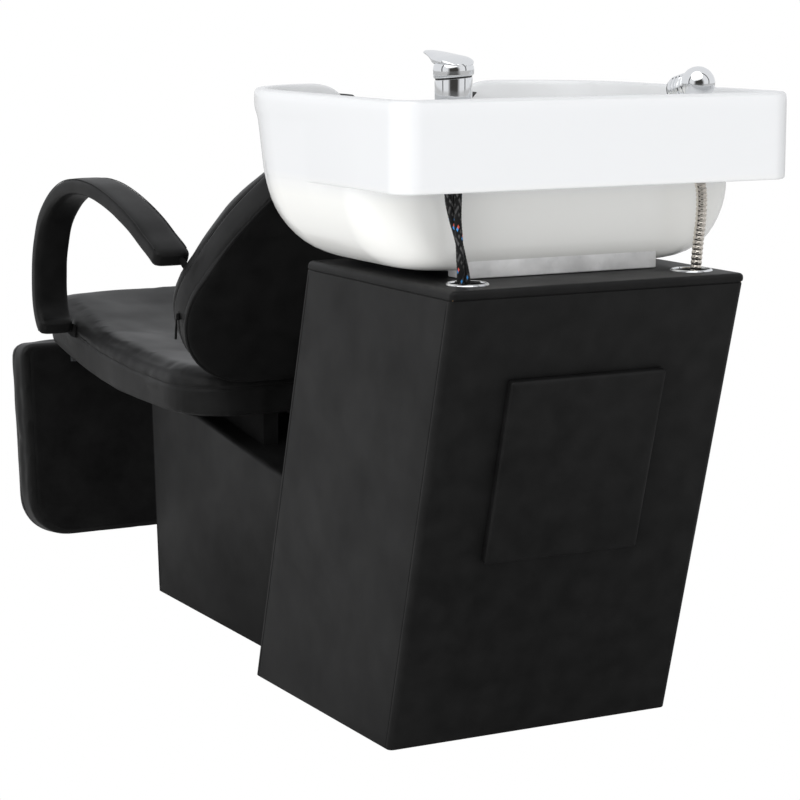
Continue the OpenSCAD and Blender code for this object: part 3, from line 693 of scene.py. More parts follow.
def slack_hose(path):
    """The stretch of shower hose that follows the hand shower up when it is pulled out."""
    top = [p for p in path if p.z > 668]
    verts, faces, uvs = tube(top, lambda run: coil_radius(run) - 0.8, 16)
    obj = make("shower_hose_slack", verts, faces, HOSE_METAL, uvs=uvs, sharp=None)
    return ridden(obj, "hand_shower")


# ---- pedestal and plinth

PED = {"hw": 220.0, "h": 635.0, "rear": 755.0, "rear_lean": 170.0, "front": 345.0, "front_lean": 185.0}
REAR_FACE = placed((0, PED["rear"], PED["h"]), (0, PED["rear_lean"], PED["h"]), (0, PED["h"], -PED["rear_lean"]))
PANEL_MID = (-4.5, -254.5)
HATCH_HALF = (90, 100)
PEGS_FROM_MID = (104, 115)
GROMMET_X = {"left": 166, "right": -175}
GROMMET_Y = 695
WASTE_Y = 495


def ped_rear(z):
    return PED["rear"] - PED["rear_lean"] * (1 - z / PED["h"])


def ped_front(z):
    return PED["front"] - PED["front_lean"] * (1 - z / PED["h"])


def seamed_outline(hw, yf, yr, r, groove):
    """Pedestal's plan at one height, with a sewn groove in each side face just round from the corners."""
    corners = [arc(hw - r, yr - r, r, 0, 90, 5), arc(r - hw, yr - r, r, 90, 180, 5),
               arc(r - hw, yf + r, r, 180, 270, 5), arc(hw - r, yf + r, r, 270, 360, 5)]
    near = (1.2, 2.4, 3.4, 4.4, 5.8)
    points = []
    for k, corner in enumerate(corners):
        points += corner
        a, b = Vector(corner[-1]), Vector(corners[(k + 1) % 4][0])
        line = (b - a).normalized()
        inward = Vector((-line.y, line.x))
        length = (b - a).length
        stops = [(s, s) for s in near] + [(length * i / 9, 99) for i in range(1, 9)]
        stops += [(length - s, s) for s in reversed(near)]
        for s, close in stops:
            depth = groove * max(0, 1 - abs(close - 3.4) / 1.2) if k % 2 else 0
            p = a + line * s + inward * depth
            points.append((p.x, p.y))
    return points


def pedestal_skin():
    roll, corner, seam_z = 6.5, 8.0, 623.0
    levels = [(2.4, 2.2), (2.2, 0.8), (3.4, 0.0), (20, 0), (120, 0), (240, 0), (360, 0), (480, 0), (580, 0), (605, 0),
              (seam_z - 3.4, 0.0), (seam_z - 1.5, 0.2), (seam_z - 0.5, 1.4), (seam_z + 0.4, 1.3),
              (seam_z + 1.2, -0.3), (seam_z + 3, -0.6)]
    for i in range(9):
        a = math.radians(90 * i / 8)
        levels.append((PED["h"] - roll + roll * math.sin(a), roll * (1 - math.cos(a)) - 0.4 * math.cos(a)))
    levels += [(PED["h"], roll + 8), (PED["h"], roll + 40)]
    rings = []
    for z, inset in levels:
        groove = 0.9 if 7 < z < 615 else 0.0
        rings.append([(x, y, z) for x, y in seamed_outline(
            PED["hw"] - inset, ped_front(z) + inset, ped_rear(z) - inset, max(2.0, corner - max(inset, 0)), groove)])
    obj = make("pedestal_cover_skin", *loft(rings, cap_first=False), PEDESTAL_SKIN)
    modified(obj, "SOLIDIFY", thickness=COVER * MM, offset=-1.0)
    holes = [lathe([(23.7, 560), (23.7, 700)], 40, (x, GROMMET_Y, 0)) for x in GROMMET_X.values()]
    holes.append(lathe([(45, 560), (45, 700)], 48, (0, WASTE_Y, 0)))
    (x, y), (hx, hy), (px, py) = PANEL_MID, HATCH_HALF, PEGS_FROM_MID
    hatch = box_mesh((x - hx, y - hy, -30), (x + hx, y + hy, 20))
    pegs = [lathe([(5.3, -30), (5.3, 20)], 16, (x + sx * px, y + sy * py, 0)) for sx in (-1, 1) for sy in (-1, 1)]
    cut(obj, holes + [moved(solid, REAR_FACE) for solid in [hatch] + pegs])
    shaded(obj, 40)
    ridden(obj, "stand", ["pedestal_cover"])


def plinth_skin():
    """One wrap over the plinth under the seat, open at the floor and against the pedestal."""
    half, top, bend, slope = 146, 329, -216, 45 / 315

    def roof(y):
        return top - (y - bend) * slope

    end_z = roof(160) / (1 + slope * 185 / 635)
    side = [(-391.6, 2.5), (-399, 110), (-406, 220), (-413, 327), (-340, 327.7), (-270, 328.4), (bend, top),
            (-100, roof(-100)), (50, roof(50)), (ped_front(end_z) + 1, end_z), (ped_front(150) + 1, 150),
            (ped_front(2.5) + 1, 2.5)]
    obj = make("plinth_cover_skin", *prism(side, -half, half), PEDESTAL_SKIN)
    bm = bmesh.new()
    bm.from_mesh(obj.data)
    open_faces = [f for f in bm.faces if abs(f.normal.x) < 0.5 and (f.normal.z < -0.5 or f.normal.y > 0.7)
                  and f.calc_center_median().z < 0.27]
    bmesh.ops.delete(bm, geom=open_faces, context="FACES")
    bm.to_mesh(obj.data)
    bm.free()
    bevelled(obj, 9, 5, 25)
    modified(obj, "SOLIDIFY", thickness=COVER * MM, offset=-1.0)
    ridden(obj, "stand", ["base_cover"])
    for side_x in (-1, 1):
        welt = [Vector((side_x * half, y, z)) for y, z in ((-383.5, 12), (-390, 110), (-397, 220), (-403.4, 318))]
        name = f"plinth_seam_{'left' if side_x > 0 else 'right'}"
        thread(name, curve_through(welt, 20), 0.7, 8, SEAM, "pedestal_leatherette")


def pillow(hw, hh, corner, levels, crown=0.0, corner_top=None):
    """Rings of a pad seen from its front: (z, inset) levels, then closed by rings that rise by crown."""
    top = corner_top or corner
    rings = [[(x, y, z) for x, y in plan(hw - i, -hh + i, hh - i, max(1, corner - i), max(1, top - i), 8, 16, 16)]
             for z, i in levels]
    z = levels[-1][0]
    last = rings[-1]
    for share in (0.85, 0.6, 0.3, 0.08):
        rings.append([(x * share, y * share, z + crown * (1 - share ** 2)) for x, y, _ in last])
    return loft(rings)


def access_panel():
    levels = [(0.7, 4.5), (0.5, 1.6), (1.2, 0.5), (2.8, 0.0), (8.2, 0.0), (9.8, 0.5), (11.1, 1.7), (11.8, 3.6),
              (12.0, 7.0)]
    piece("access_panel_wrap", pillow(117.5, 129.5, 4.0, levels, 0.8), PEDESTAL_SKIN, "access_panel",
          "pedestal_leatherette", ["access_panel_pad"], 1.0, matrix=REAR_FACE @ Matrix.Translation((*PANEL_MID, 0)))


def grommets():
    lip = [(24.4, -6), (24.4, 0.6), (24.8, 1.9), (25.6, 2.5), (26.6, 2.2), (27.5, 1.3), (28, 0.2), (25.2, 0.0),
           (25.0, -6)]
    sleeve = [(22.0, -19), (22.0, -0.2), (22.8, 0.3), (24.3, 0.3), (24.3, -2), (23.4, -4), (23.4, -19)]
    for side, x in GROMMET_X.items():
        name = "hose_grommet_" + side
        for part, profile, material in (("_ring", lip, CHROME), ("_liner", sleeve, BLACK_PLASTIC)):
            turned = ring_lathe(profile, 64, (x, GROMMET_Y, PED["h"]))
            piece(name + part, turned, material, "stand", "chrome", [name])


# ---- seat

SEAT_TOP = [(-672, 468), (-640, 482), (-560, 467), (-400, 439), (-250, 428), (-60, 424), (-22, 405)]
SEAT_FOOT = [(-672, 415.5), (-664, 413.5), (-600, 400.5), (-540, 388.5), (-470, 377), (-400, 368), (-330, 362),
             (-240, 359.5), (-22, 359.5)]


def height_on(line, y):
    """Height of a (y, z) line at y."""
    for (y0, z0), (y1, z1) in zip(line, line[1:]):
        if y <= y1:
            return mix(z0, z1, (y - y0) / (y1 - y0))
    return line[-1][1]


def seat_top(x, y):
    """Top of the seat: the side view's line, dished in the middle and full near the edge."""
    dish = 8 * max(0, 1 - (x / 190) ** 2) * smoothstep(-650, -560, y) * (1 - smoothstep(-180, -60, y))
    return height_on(SEAT_TOP[1:6], min(-60, max(-640, y))) - dish


def seat_cushion():
    levels = [(0, 60), (0, 20), (0, 4), (0.03, 0.6), (0.2, 0), (0.5, 0), (0.72, 1), (0.88, 6), (0.96, 14), (1.0, 26),
              (1.0, 60), (1.0, 110), (1.0, 170)]
    half, front, rear, front_r, rear_r = 240, -671, -23, 60, 100
    middle_y = (front + rear) / 2
    rings = []
    for share, inset in levels:
        ring = []
        for x, y in plan(half - inset, front + inset, rear - inset, max(8, front_r - inset), max(8, rear_r - inset),
                         10, 20, 26):
            foot = height_on(SEAT_FOOT, y) - 4
            ring.append((x, y, mix(foot, seat_top(x, y) - 1.5, share)))
        rings.append(ring)
    obj = make("seat_pad", *loft(rings), SEAT_SKIN, sharp=None)
    inflate(obj, 3.0, 6, 6.0)
    seam = 0.62  # share of the side's height

    def sewn(p, n):
        foot, top = height_on(SEAT_FOOT, p.y), seat_top(p.x, p.y)
        level = foot + (top - foot) * seam
        near = max(0.0, 1 - abs(p.z - level) / 5.0) if abs(n.z) < 0.75 else 0.0
        p = p - n * 2.2 * near ** 2
        edge = smoothstep(0.15, 0.6, 1 - abs(n.z)) * (1 if p.z > level else 0)
        wave = noise.noise(Vector((p.x * 0.018, p.y * 0.018, 3.0)))
        p = p + n * (0.9 * wave + edge * 1.1 * noise.noise(Vector((p.x, p.y, p.z)) * 0.045))
        p.z = max(p.z, foot - 4.5)
        return p

    reshape(obj, sewn)
    ridden(obj, "stand", ["seat_cushion"])
    turned_under = [(30, 1.0), (20, -1.2), (3, -1.6), (-0.5, -0.8), (-1.4, 2), (-1.6, 12), (-1.6, 40)]
    hem = []
    for up, inset in turned_under:
        outline = plan(half - 3 - inset, front + 3 + inset, rear - 3 - inset, front_r - inset, rear_r - inset,
                       10, 20, 26)
        hem.append([(x, y, height_on(SEAT_FOOT, y) + up) for x, y in outline])
    piece("seat_turned_hem", loft(hem, cap_first=False, cap_last=False), SEAT_SKIN, "stand", "seat_leatherette")
    tree = BVHTree.FromObject(obj, bpy.context.evaluated_depsgraph_get())
    line = []
    for x, y in plan(half - 4, front + 3, rear - 3, front_r, rear_r, 12, 24, 30):
        foot, top = height_on(SEAT_FOOT, y), seat_top(x, y)
        out = Vector((x, y - middle_y, 0)).normalized()
        start = Vector((x, y, foot + (top - foot) * seam)) + out * 40
        hit = tree.ray_cast(start * MM, -out)[0]
        if hit:
            line.append(hit / MM)
    line.append(line[0])
    thread("seat_seam", curve_through(line, 9), 0.8, 8, SEAM, "seat_leatherette")


# ---- backrest

BACK = placed((0, -5, 412), (0, 0.4756, 0.8797), (0, -0.8797, 0.4756))
BACK_MID_Y = 190
HEAD_END = (180, 300)  # heights over which the rear is drawn in, away from the tipped basin
HEAD_NARROWING = 0.012


def on_skin(surface, p, z):
    """Where the pad's skin is met on the way from p to its middle at depth z, and the normal there."""
    out = (p - BACK @ Vector((0, BACK_MID_Y, z))).normalized()
    hit, normal, _, _ = surface.ray_cast((p + out * 40) * MM, -out)
    return (hit / MM if hit else p), (normal or out)


def egg(inset):
    """Backrest outline: a wide arc at the hips and a narrower one at the neck, with nearly straight lines between."""
    hip_x, hip_y, hip_r = 147, 130, 130
    neck_x, neck_y, neck_r = 62, 288, 124
    flat = 10
    across, up = neck_x - hip_x, neck_y - hip_y
    lean = math.degrees(math.atan2(up, across) - math.acos((hip_r - neck_r) / math.hypot(across, up)))
    low = arc(hip_x, hip_y, hip_r - inset, -90, lean, 14)
    high = arc(neck_x, neck_y, neck_r - inset, lean, 90, 10)
    away = Vector((math.cos(math.radians(lean)), math.sin(math.radians(lean))))
    between = spread(low[-1], high[0], 12)
    full = [tuple(Vector(q) + away * 9 * math.sin(math.pi * (i + 1) / (len(between) + 1))) for i, q in
            enumerate(between)]
    right = low + full + high
    left = [(-x, y) for x, y in reversed(right)]
    return right + spread(right[-1], left[0], flat) + left + spread(left[-1], right[0], flat)


def backrest():
    levels = [(2.0, 30), (2.0, 5), (3.0, 1.5), (6, 0), (28, -1.0), (50, 0), (62, 3), (73, 9), (81, 19), (86, 34),
              (88, 60), (88.5, 95)]
    rings = [[(x, y, z) for x, y in egg(inset)] for z, inset in levels]
    obj = make("backrest_pad", *loft(rings), SEAT_SKIN, matrix=BACK, sharp=None)
    inflate(obj, 3.5, 7, 5.5)
    inverse = BACK.inverted()
    turn = inverse.to_3x3()

    def sewn(p, n):
        local = inverse @ p
        flat = (turn @ n).z
        near = max(0.0, 1 - abs(local.z - 50) / 4.5) if abs(flat) < 0.8 else 0.0
        if flat < -0.5:
            local.z = max(local.z, 1.2)
            return BACK @ local
        rear = max(0.0, 1 - abs(local.z - 3.5) / 4.0) if flat < 0.5 else 0.0
        wave = noise.noise(Vector((p.x, p.y, p.z)) * 0.02)
        local = inverse @ (p - n * (2.0 * near ** 2 + 1.0 * rear ** 2) + n * 0.8 * wave)
        local.y -= 18 * smoothstep(270, 400, local.y) * smoothstep(35, 75, local.z)
        return BACK @ local

    reshape(obj, sewn)
    ridden(obj, "stand", ["backrest_cushion"])

    cover = []
    for z, inset in [(22, 1.5), (10, -0.6), (3.0, -0.8), (0.6, 1.0), (-0.6, 5), (-1.4, 16), (-2.0, 40), (-2.6, 90)]:
        cover.append([])
        for x, y in egg(inset):
            clear = smoothstep(*HEAD_END, y)
            cover[-1].append((x * (1 - HEAD_NARROWING * clear), y - 3.0 * clear, z + clear * max(0.0, 2.6 - z) * 0.9))
    rear = make("backrest_rear_skin", *loft(cover), SEAT_SKIN, matrix=BACK, sharp=60)
    subdivided(rear)
    ridden(rear, "stand", ["backrest_rear_pad"])

    piping = []
    for x, y in egg(1.0):
        clear = smoothstep(*HEAD_END, y)
        piping.append(BACK @ Vector((x * (1 - HEAD_NARROWING * clear), y - 4.5 * clear, 1.8 + 2.2 * clear)))
    surface = BVHTree.FromObject(obj, bpy.context.evaluated_depsgraph_get())
    seam = [on_skin(surface, BACK @ Vector((x, y, 50)), 50)[0] for x, y in egg(0)]
    for name, path, radius, material in (("backrest_piping", piping, 2.4, SEAT_SKIN),
                                         ("backrest_front_seam", seam, 0.8, SEAM)):
        thread(name, curve_through(path + path[:1], 7), radius, 10, material, "seat_leatherette")
    zipper(surface)


def zipper(surface):
    """A coil zip along the lower boxing, and its slider with a hanging puller."""
    depth = 27
    line = [(x, y) for x, y in egg(0) if y < 122]
    line.sort(key=lambda q: math.atan2(q[0], BACK_MID_Y - q[1]))
    path = [on_skin(surface, BACK @ Vector((x, y, depth)), depth)[0] for x, y in line]
    thread("backrest_zip", curve_through(path, 4), lambda run: 1.5 + 0.35 * math.sin(run * 2.2), 8, BLACK_PLASTIC,
           "black_plastic")
    top, out = on_skin(surface, BACK @ Vector((277, 118, depth)), depth)
    down = Vector((0, 0, -1))
    body = tube([top + out * 1.5 + down * t for t in (0, 3, 7, 10)],
                lambda run: 2.2 + 1.2 * math.sin(min(1, run / 10) * math.pi), 10)
    pull = tube([top + out * (3.5 + 0.06 * t) + down * t for t in (8, 12, 18, 26, 34, 38)],
                lambda run: 1.1 + 0.9 * smoothstep(2, 14, run), 8)
    piece("backrest_zip_puller", joined([body[:2], pull[:2]]), BLACK_STEEL, "stand", "black_steel", ["zip_slider"])


# ---- armrests

ARM_ROUTE = [(-508, 440), (-523, 446), (-534, 459), (-541, 477), (-544, 501), (-543, 527), (-539, 558),
             (-527, 590), (-509, 621), (-479, 647), (-443, 668), (-397, 684), (-338, 691), (-273, 688),
             (-210, 677), (-153, 662), (-103, 645), (-62, 627), (-30, 614), (-7, 602)]


def rounded_bar(width, thick):
    """A superellipse section: (across, through) pairs."""
    count, power = 36, 4.5
    pts = []
    for i in range(count):
        a = 2 * math.pi * i / count
        c, s = math.cos(a), math.sin(a)
        pts.append((width / 2 * math.copysign(abs(c) ** (2 / power), c),
                    thick / 2 * math.copysign(abs(s) ** (2 / power), s)))
    return pts


def armrests():
    wide, thick, end_round = 58, 27, 5
    seam_across, seam_through = 25.9, 11.9
    for name, x0 in (("armrest_left", 271), ("armrest_right", -271)):
        path = curve_through([(x0, y, z) for y, z in ARM_ROUTE], 8)
        total = run_length(path)
        section = rounded_bar(wide, thick)
        rings, run = [], 0.0
        stations = [(p, path[min(i + 1, len(path) - 1)] - path[max(i - 1, 0)]) for i, p in enumerate(path)]
        for i, (p, t) in enumerate(stations):
            if i:
                run += (p - path[i - 1]).length
            t.normalize()
            through = Vector((0, -t.z, t.y))
            end = min(run, total - run)
            inset = end_round - math.sqrt(max(0, end_round ** 2 - max(0, end_round - end) ** 2))
            swell = 1 + 0.012 * noise.noise(p * 0.03)
            rings.append([p + Vector((1, 0, 0)) * (a * swell * (1 - inset / (wide / 2)))
                          + through * (b * swell * (1 - inset / (thick / 2))) for a, b in section])
        obj = make(name + "_skin", *loft(rings), ARM_SKIN, sharp=50)
        ridden(subdivided(obj), "stand", [name])
        for k, side in enumerate((-1, 1)):
            line = [p + Vector((side * seam_across, 0, 0)) + Vector((0, -t.z, t.y)) * seam_through
                    for p, t in stations[2:-2]]
            thread(f"{name}_seam_{k + 1}", line, 0.7, 8, SEAM, "arm_skin")


# ---- leg rest

REST_LEAN = math.radians(5.2)
REST = placed((0, -755 + 57 * math.cos(REST_LEAN), 388), (0, -math.sin(REST_LEAN), math.cos(REST_LEAN)),
              (0, -math.cos(REST_LEAN), -math.sin(REST_LEAN)))


def leg_rest():
    middle = REST @ Matrix.Translation((0, -169, 0))
    levels = [(1.6, 30), (1.4, 10), (0.8, 2.5), (2.2, 0.6), (5, 0), (52, 0), (58, 1.2), (61.5, 4.0), (63.5, 9.0),
              (64.5, 22), (65, 50)]
    obj = make("leg_rest_pad", *pillow(269, 171, 70, levels, 1.5, 22), SEAT_SKIN, matrix=middle, sharp=None)
    inflate(obj, 2.0, 3, 5.5)
    inverse = middle.inverted()
    turn = inverse.to_3x3()

    def sewn(p, n):
        local = inverse @ p
        flat = (turn @ n).z
        near = max(0.0, 1 - abs(local.z - 40) / 4.0) if abs(flat) < 0.8 else 0.0
        if flat < -0.5:
            local.z = max(local.z, 0.4)
            return middle @ local
        return p - n * 1.6 * near ** 2 + n * 0.8 * noise.noise(Vector((p.x, p.y, p.z)) * 0.025)

    reshape(obj, sewn)
    ridden(obj, "leg_rest", ["leg_rest_cushion"])
    back = [(6, 7.2), (0.6, 6.0), (-0.3, 7.2), (-0.5, 12), (-0.5, 30)]
    piece("leg_rest_backing_cloth", pillow(260, 169, 70, back, -0.4, 22), BACKING, "leg_rest", "leg_rest_backing",
          ["leg_rest_board"], matrix=middle)


# ---- basin

BOWL_OUT = [(644.5, 188, 340, 632, 112, 50), (648, 216, 318, 645, 128, 60), (659, 243, 290, 654, 146, 66),
            (675, 262, 271, 657, 156, 68), (697, 277, 253, 657, 162, 68), (722, 286, 237, 657, 168, 66),
            (746, 289, 228, 656, 171, 66)]
BOWL_IN = [(820, 277, 221, 634, 161, 64), (800, 276, 224, 634, 161, 65), (760, 274, 240, 633, 158, 70),
           (735, 268, 253, 632, 155, 72), (710, 260, 270, 631, 150, 74), (695, 249, 284, 627, 143, 74),
           (682, 232, 306, 620, 135, 74), (673, 212, 328, 611, 124, 72), (667, 190, 350, 601, 112, 68),
           (664, 160, 378, 588, 94, 62), (663, 110, 420, 562, 70, 50)]
RIM_Z = 870
BASIN_HW, BASIN_FRONT, BASIN_REAR = 295, 199, 755
BASIN_CORNERS = (178, 32)
BASIN_POINTS = (16, 40, 24)
TAP = (184, 690)
SHOWER = (-183, 690)


def rim_row(z, inset):
    """A row of the outer rim, the same all round."""
    front_r, rear_r = BASIN_CORNERS
    row = (z, BASIN_HW - inset, BASIN_FRONT + inset, BASIN_REAR - inset, front_r - inset, max(4, rear_r - inset))
    return row, row


def basin_rows():
    """From the bowl's foot outward and over the rim to its drain: each a front row and a rear row, as
    (height, half-width, front, rear, front radius, rear radius). The rear ones go round the tap deck and band."""
    rows = [(r, r) for r in BOWL_OUT]
    front = [(z, hw, yf, 655, 171, 66) for z, hw, yf in (
        (751, 289.2, 226), (752.5, 289.3, 225.6), (753.5, 289.4, 225.3), (754.5, 289.5, 225), (755.5, 289.7, 224.6),
        (757.5, 290, 224), (762, 290.3, 223))]
    rear = [(826, 287, 226, 655, 171, 66), (832, 284, 226, 744, 171, 24), (759, 284, 226, 744, 171, 24),
            (755, 285.5, 224, 745.5, 172, 25), (755, 293, 204, 753, 177, 31), (757, 294.7, 200, 754.7, 178, 32),
            (760, 295, 199, 755, 178, 32)]
    rows += list(zip(front, rear))
    for row in ((790, 291.3, 217, 655, 172, 66), (822, 292.3, 210, 655, 174, 66), (832, 292.8, 206.5, 655, 175, 60),
                (837, 293.6, 202.5, 670, 177, 56), (843, 294.6, 199.6, 700, 178, 50)):
        rows.append((row, rim_row(row[0], 0)[1]))
    rows += [rim_row(849, 0), rim_row(857, 0)]
    rows += [rim_row(863 + 7 * math.sin(a), 7 - 7 * math.cos(a)) for a in (0.4, 0.8, 1.2, math.pi / 2)]
    inner_front = [
        (870, 282, 212, 644, 165, 56), (869, 280, 214.5, 641, 163, 60), (866.5, 278.8, 216, 638.5, 162, 62),
        (861, 278.2, 217, 636.5, 162, 63), (850, 277.8, 217.5, 635.5, 162, 63.5), (842, 277.6, 218, 635, 162, 64),
        (838, 277.4, 218.4, 634.6, 162, 64), (832, 277.2, 219, 634, 162, 64)]
    inner_rear = [
        (870, 283.5, 212, 743.5, 165, 20), (869, 281.6, 214.5, 741.8, 163, 19), (866, 280.8, 216, 741, 162, 18),
        (846, 280.2, 217, 740.6, 162, 18), (842.6, 279, 217.5, 738, 162, 18), (842, 278, 218, 700, 162, 40),
        (842, 277.4, 218.4, 641, 162, 60), (839.5, 277.2, 219, 635.6, 162, 64)]
    rows += list(zip(inner_front, inner_rear))
    return rows + [(r, r) for r in BOWL_IN]


def notch_drop(x):
    """How far the front rim dips at x for the neck: a round hollow with softly rounded shoulders."""
    x = abs(x)
    if x > 88:
        return 31.0 * max(0.0, (142 - x) / 54) ** 2.3
    return math.sqrt(110 ** 2 - x * x) - 35


def basin():
    rings = []
    guide = plan(BASIN_HW, BASIN_FRONT, BASIN_REAR, *BASIN_CORNERS, *BASIN_POINTS)
    shares = [1.0 if y > 700 else smoothstep(540, 640, y) for x, y in guide]
    for front, rear in basin_rows():
        a = plan(*front[1:], *BASIN_POINTS)
        b = plan(*rear[1:], *BASIN_POINTS)
        ring = []
        for (xa, ya), (xb, yb), share in zip(a, b, shares):
            x, y, z = mix(xa, xb, share), mix(ya, yb, share), mix(front[0], rear[0], share)
            if y < 400:
                near = smoothstep(690, RIM_Z, z)
                z -= notch_drop(x) * near * (1 - smoothstep(300, 400, y))
            ring.append((x, y, z))
        rings.append(ring)

    def hole(r, z):
        return [(x, y + WASTE_Y, z) for x, y in plan(r, -r, r, r * 0.999, r * 0.999, *BASIN_POINTS)]

    rings += [hole(40, 663), hole(34.5, 662.8), hole(33, 661), hole(33, 650)]
    for z, grow in ((650, 0), (647.5, 0), (646, 1)):
        recess = plan(125.5 + 1.5 * grow, 344.5 - 1.5 * grow, 597.5 + 1.5 * grow, 6 + grow, 6 + grow, *BASIN_POINTS)
        rings.append([(x, y, z) for x, y in recess])
    obj = make("basin_shell", *loft(rings, round_again=True), CERAMIC, sharp=None)
    subdivided(obj)
    cut(obj, [lathe([(r, 815), (r, 850)], 40, (*place, 0)) for r, place in ((17, TAP), (18, SHOWER))])
    ridden(shaded(obj, 50), "basin", ["basin"])


def neck_rest():
    """A soft black saddle over the notch, ribbed along its length."""
    rings = []
    reach = 101
    steps = 56
    for i in range(steps + 1):
        x = mix(-reach, reach, i / steps)
        end = smoothstep(0, 14, reach - abs(x))
        z = RIM_Z - notch_drop(x)
        slope = (notch_drop(x + 1) - notch_drop(x - 1)) / 2
        lean = Vector((slope, 0, 1)).normalized()
        thick = 1.5 + 5.5 * end
        outline = []
        for y, t in ((196, -7.5), (194.5, -3), (194.6, 1), (196.5, 4.5), (201, 6.4), (210, 7), (224, 7.2), (238, 7),
                     (247, 6), (250.5, 3.5), (251, 0), (249, -1), (224, -1), (204, -1), (199, -2.5), (197.5, -7)):
            rib = 0.5 * math.cos(y * math.pi / 5) if 202 < y < 246 and t > 5 else 0
            up = t * thick / 7 + rib * end if t > 0 else t
            outline.append(Vector((x, y, z)) + lean * (up + 0.4))
        rings.append(outline)
    piece("neck_rest_pad", loft(rings), RUBBER, "basin", "black_rubber", ["neck_rest"], 1.0)


def saddle():
    obj = make("basin_foot", *box_mesh((-148, 612, 635.6), (148, 652, 670)), FOOT_WHITE)
    bevelled(obj, 2.0, 3)
    ridden(obj, "basin", ["basin_saddle"])


# ---- tap and hand shower

def slanted(solid, low, high):
    """Points of a turned tap part between two heights tipped along the joint between body and lever."""
    x, y = TAP
    verts, faces = solid
    return [(px, py, pz + 0.085 * (0.47 * (py - y) - 0.88 * (px - x)) * (1 if low < pz < high else 0))
            for px, py, pz in verts], faces


def tap():
    x, y = TAP
    axis = (x, y, 0)
    body = [(10, 806), (13.2, 806), (14, 807), (14, 843.8), (24.6, 844), (25.2, 845), (25.2, 847.2), (24.3, 848.2),
            (23.6, 850), (23.4, 870), (23.6, 890), (23.4, 892.2), (22.6, 893), (8, 893)]
    piece("tap_body_shell", slanted(lathe(body, 64, axis), 888, 900), CHROME, "basin", "chrome", ["tap_body"])
    # A thin black rubber ring in the joint between body and lever: partly a seal, and partly painted shade for the
    # dark gap there.
    ring = lathe([(8, 892.8), (23.0, 892.8), (23.1, 894.9), (8, 894.9)], 64, axis)
    piece("tap_joint_ring", slanted(ring, 888, 900), RUBBER, "basin", "black_rubber")
    seal = ring_lathe([(14.2, 842), (25.6, 842), (25.8, 843), (25.4, 844), (14.2, 844)], 48, axis)
    piece("tap_gasket", seal, RUBBER, "basin", "black_rubber", ["tap_seal"])

    hub = [(14, 894.8), (24.2, 894.8), (25.0, 895.6), (25.4, 898), (25.5, 904), (25.0, 908), (23.4, 910.8),
           (19.5, 912), (14, 912)]
    hub = slanted(lathe(hub, 64, axis), 888, 897)
    top = [(-66, 925.4), (-62, 926.6), (-40, 925.2), (-20, 923.4), (0, 921), (12, 917.6), (20, 913), (24.6, 908.6)]
    under = [(-66, 924.4), (-62, 922), (-46, 919), (-34, 915), (-26, 910.5), (-22, 908), (24.6, 908)]
    rings = []
    for i in range(33):
        along = mix(-66, 24.6, i / 32)
        half = 25.0 * math.sqrt(max(0.0, 1 - (along / 25) ** 2)) if along > 0 else mix(25.0, 10.5, -along / 62)
        half *= math.sqrt(max(0.02, 1 - (max(0.0, -along - 56) / 10.2) ** 2))
        high, low = height_on(top, along), height_on(under, along)
        middle, depth = (high + low) / 2, (high - low) / 2
        ring = []
        for a in range(28):
            angle = 2 * math.pi * a / 28
            c, n = math.cos(angle), math.sin(angle)
            ring.append((x + max(half, 1.0) * math.copysign(abs(c) ** 0.7, c), y + along,
                         middle + depth * math.copysign(abs(n) ** 0.85, n)))
        rings.append(ring)
    piece("tap_lever_shell", joined([hub, loft(rings)]), CHROME, "tap_lever", "chrome", ["tap_lever"], sharp=42)


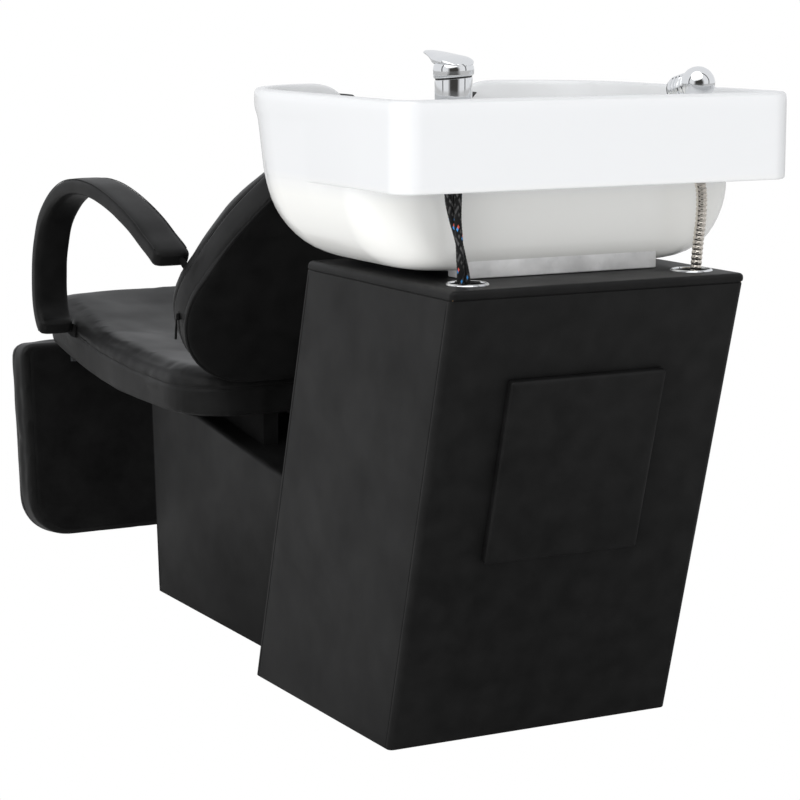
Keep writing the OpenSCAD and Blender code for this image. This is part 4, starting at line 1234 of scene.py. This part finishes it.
def hand_shower():
    x, y = SHOWER
    centre = Vector((x, y, 880))
    out = Vector((0.14, -0.956, -0.259)).normalized()
    aim = placed(centre, Vector((0, 0, 1)) - out * out.z, out)
    dome = [(0.6, -22.5)] + [(22.5 * math.sin(a), -22.5 * math.cos(a)) for a in
                             [math.radians(d) for d in (10, 20, 30, 42, 54, 66, 78, 90, 102, 114, 124)]]
    barrel = dome + [(17.8, 14.5), (17.6, 20.6), (18.9, 21.2), (19.1, 23), (18.9, 24.8), (17.2, 25.4), (17.2, 27.2),
                     (18.9, 27.8), (19.1, 29.6), (18.9, 31.4), (17.2, 32), (17.2, 33.8), (18.9, 34.4), (19.1, 36.2),
                     (18.9, 38), (18.0, 40.6), (17.0, 41.6), (6, 42)]
    handle = [(5, 765), (8.4, 765), (9, 766), (9, 770), (10.8, 800), (12, 834), (12, 845), (16.6, 846.3), (17, 847.2),
              (17, 851.4), (16.4, 852.3), (12.4, 853), (12.2, 862), (11.6, 874), (6, 878)]
    body = joined([moved(lathe(barrel, 64), aim), lathe(handle, 48, (x, y, 0))])
    piece("hand_shower_shell", body, CHROME, "hand_shower", "chrome", ["hand_shower"])
    nozzles = [lathe([(16.8, 41), (16.8, 43.2), (16.2, 44.2), (14, 44.8), (4, 44.9)], 64)]
    for radius, count in ((4.5, 6), (9, 12), (13, 18)):
        for i in range(count):
            a = 2 * math.pi * i / count
            nozzles.append(lathe([(1.1, 44.4), (0.9, 45.6), (0.4, 45.9)], 8,
                                 (radius * math.cos(a), radius * math.sin(a), 0)))
    piece("spray_plate", moved(joined(nozzles), aim), BLACK_PLASTIC, "hand_shower", "black_plastic", ["spray_face"])
    flange = [(14.6, 824), (17.4, 824), (17.4, 842), (22.4, 842), (23, 842.8), (22.8, 845), (21, 846), (16.4, 846),
              (14.6, 845)]
    piece("shower_holder_ring", ring_lathe(flange, 64, (x, y, 0)), CHROME, "basin", "chrome", ["shower_holder"])


# ---- CAD nodes that keep their shape

def cad_finishes():
    groups = (
        (WOOD, "pedestal_left_panel pedestal_right_panel pedestal_front_panel pedestal_rear_panel pedestal_top_board "
               "pedestal_floor_frame base_left_panel base_right_panel base_front_panel base_top_board backrest_board "
               "access_panel_board"),
        (BACKING, "seat_board"),
        (BLACK_STEEL, "seat_risers backrest_brackets armrest_plates"),
        (ZINC, "joining_bolts backrest_bolts leg_rest_hinge_plates leg_rest_arms leg_rest_pins tilt_base_plate "
               "tilt_top_plate tilt_pin"),
        (BLACK_PLASTIC, "floor_glides waste_nut waste_tail"),
        (CHROME, "waste_flange strainer"),
        (BRASS, "tap_lock_nut tap_spindle"),
        (PEG_PLASTIC, "access_panel_pegs"),
    )
    finishes = {name: material for material, names in groups for name in names.split()}
    for name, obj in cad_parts.items():
        if obj.hide_render:
            continue
        for k in range(max(1, len(obj.material_slots))):
            if not obj.material_slots:
                obj.data.materials.append(finishes[name])
            else:
                obj.material_slots[k].link = "OBJECT"
                obj.material_slots[k].material = finishes[name]


camera()
studio()
hoses()
pedestal_skin()
plinth_skin()
access_panel()
grommets()
seat_cushion()
backrest()
armrests()
leg_rest()
basin()
neck_rest()
saddle()
tap()
hand_shower()
cad_finishes()
